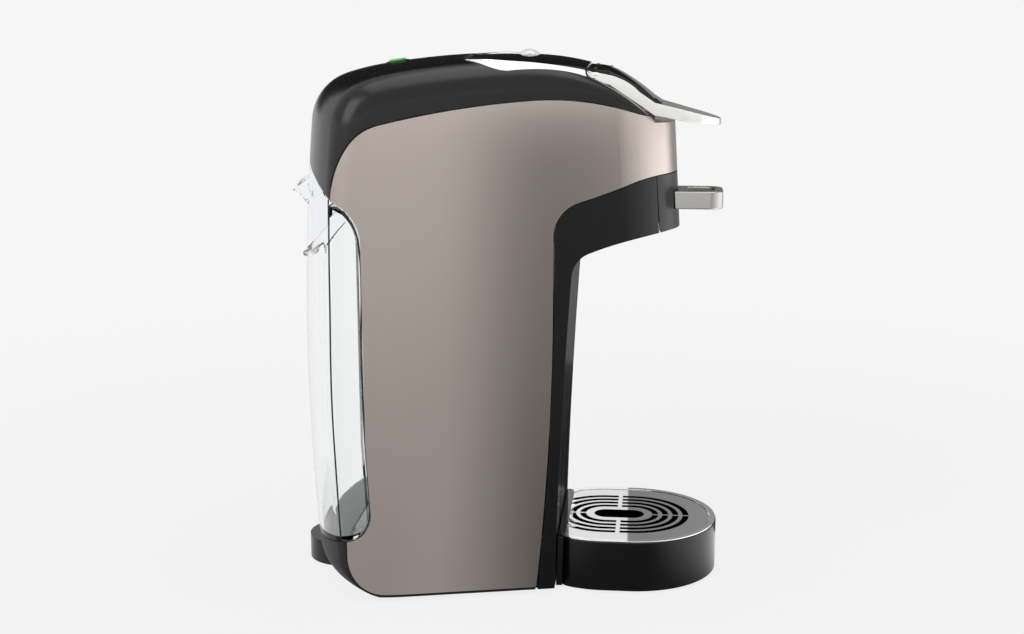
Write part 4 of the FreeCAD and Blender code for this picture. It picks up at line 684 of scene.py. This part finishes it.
# %% Light on the card
CARD_FOOT = Vector((-0.02, -0.065, 0))
LIFT = 0.2 * MM
EDGE_LOW, EDGE_HIGH, EDGE_TONE = 0.262, 0.274, paint("CFCFCF")
TURN_FROM, TURN_TO, TURN_SHARE = 0.2, 0.36, 0.3
FOOT_NEAR, FOOT_FAR, NEAR_SHARE, FAR_SHARE = 0.05, 0.6, 0.6, 0.76
RISE_TOP, RISE_SHARE = 0.2, 0.22
LYING, STANDING = 2 * LIFT, 10 * LIFT
TRAY_FROM, TRAY_TO, TRAY_BOOST = 0.085, 0.15, 3.5
axes = add(tree, "SeparateXYZ", {"Vector": where}).outputs
edge = add(tree, "MapRange", {"Value": axes["Z"], "From Min": EDGE_LOW, "From Max": EDGE_HIGH})
tone = add(tree, "Mix", {"Factor": edge.outputs["Result"], 6: ramp.outputs["Color"], 7: EDGE_TONE},
           data_type="RGBA").outputs[2]
away = add(tree, "VectorMath", {0: where, 1: CARD_FOOT}, operation="DISTANCE").outputs["Value"]
near = add(tree, "MapRange", {"Value": away, "From Min": FOOT_NEAR, "From Max": FOOT_FAR,
                              "To Min": NEAR_SHARE, "To Max": FAR_SHARE})
rise = add(tree, "MapRange", {"Value": axes["Z"], "From Min": 0.0, "From Max": RISE_TOP,
                              "To Min": 0.0, "To Max": RISE_SHARE})
turned = add(tree, "MapRange", {"Value": axes["Y"], "From Min": TURN_FROM, "From Max": TURN_TO,
                                "To Min": 1.0, "To Max": TURN_SHARE})
fade = add(tree, "Math", {0: near.outputs["Result"], 1: rise.outputs["Result"]}, operation="ADD")
fade = add(tree, "Math", {0: fade.outputs["Value"], 1: turned.outputs["Result"]}, operation="MULTIPLY")
lying = add(tree, "MapRange", {"Value": axes["Z"], "From Min": LYING, "From Max": STANDING,
                               "To Min": TRAY_BOOST * TOP_TONE, "To Max": TOP_TONE})
by_tray = add(tree, "MapRange", {"Value": reach, "From Min": TRAY_FROM, "From Max": TRAY_TO,
                                 "To Min": TOP_TONE, "To Max": lying.outputs["Result"]})
strength = add(tree, "Math", {0: fade.outputs["Value"], 1: by_tray.outputs["Result"]}, operation="MULTIPLY")
glow = add(tree, "Emission", {"Color": tone, "Strength": strength.outputs["Value"]})
add(tree, "OutputMaterial", {"Surface": glow.outputs["Emission"]})
print("card material has", len(tree.nodes), "nodes")

# %% [markdown]
# The card's shape is one bent line, lying and then standing, spun about a point under the side. Only
# mirrored rays see it, so it neither shows in the picture nor shades the floor.

# %% Graduated card
CARD_FROM, CARD_TO, CARD_STEPS = math.radians(-100), math.radians(172), 98
CARD_NEAR, CARD_FAR, CARD_HIGH = 0.005, 0.6, 0.36


def mirrored_only(sheet):
    """Hides a studio sheet from all rays but mirrored ones."""
    sheet.visible_camera = sheet.visible_diffuse = False
    sheet.visible_transmission = sheet.visible_shadow = False


bent_line = ((0, -CARD_NEAR, LIFT), (0, -CARD_FAR, LIFT), (0, -CARD_FAR, CARD_HIGH))
bow, corners, edges = traced(bent_line)
bmesh.ops.rotate(bow, cent=(0, 0, 0), matrix=Matrix.Rotation(CARD_FROM, 3, "Z"), verts=bow.verts)
bmesh.ops.spin(bow, geom=corners + edges, cent=(0, 0, 0), axis=(0, 0, 1), angle=CARD_TO - CARD_FROM,
               steps=CARD_STEPS)
bmesh.ops.translate(bow, vec=CARD_FOOT, verts=bow.verts)
card = linked("graduated_card", bow, graded)
mirrored_only(card)
print("graduated card", len(card.data.polygons), "faces")

# %% [markdown]
# Polished black only reads as black if it mirrors something dark. A black flag behind the machine does that
# for the control panel, which the camera sees at a glancing angle. A second one lies on the floor behind and
# stands up at its end, for the front of the column. Each is a line seen from its end, pulled out sideways.

# %% Black flags
flag_paint = material("flag_black", Base_Color=paint("050505"), Roughness=0.9)[0]
# Left and right end, then the depth and height of each corner of the line, in metres.
FLAGS = {
    "flag_behind": ((-0.8, 1.0), [(0.7, 0.33), (0.7, 1.3)]),
    "flag_low": ((-0.1, 0.45), [(0.06, 2 * LIFT), (0.7, 2 * LIFT), (0.7, 0.15)]),
}
for name, ((left, right), line) in FLAGS.items():
    sheet, _, edges = traced([(left, depth, high) for depth, high in line])
    pulled = bmesh.ops.extrude_edge_only(sheet, edges=edges)["geom"]
    far_end = [part for part in pulled if isinstance(part, bmesh.types.BMVert)]
    bmesh.ops.translate(sheet, vec=Vector((right - left, 0, 0)), verts=far_end)
    flag = linked(name, sheet, flag_paint)
    mirrored_only(flag)
    print(name, len(flag.data.polygons), "faces")

# %% [markdown]
# The camera stands where the photograph was taken from, a little in front and above. Its place and lens
# were fitted to the photograph.

# %% Camera
EYE = Vector((96.71, -949.18, 358.44)) * MM
LOOK_AT = Vector((1.94, 0, 157.84)) * MM
SENSOR_MM, LENS_MM = 36, 55.3
camera = bpy.data.objects.new("camera", bpy.data.cameras.new("camera"))
camera.data.sensor_width = SENSOR_MM
camera.data.lens = LENS_MM
camera.location = EYE
camera.rotation_euler = (LOOK_AT - EYE).to_track_quat("-Z", "Y").to_euler()
bpy.context.collection.objects.link(camera)
bpy.context.scene.camera = camera
bpy.context.scene.view_settings.view_transform = "Standard"
print("camera", round((LOOK_AT - EYE).length, 3), "m away")
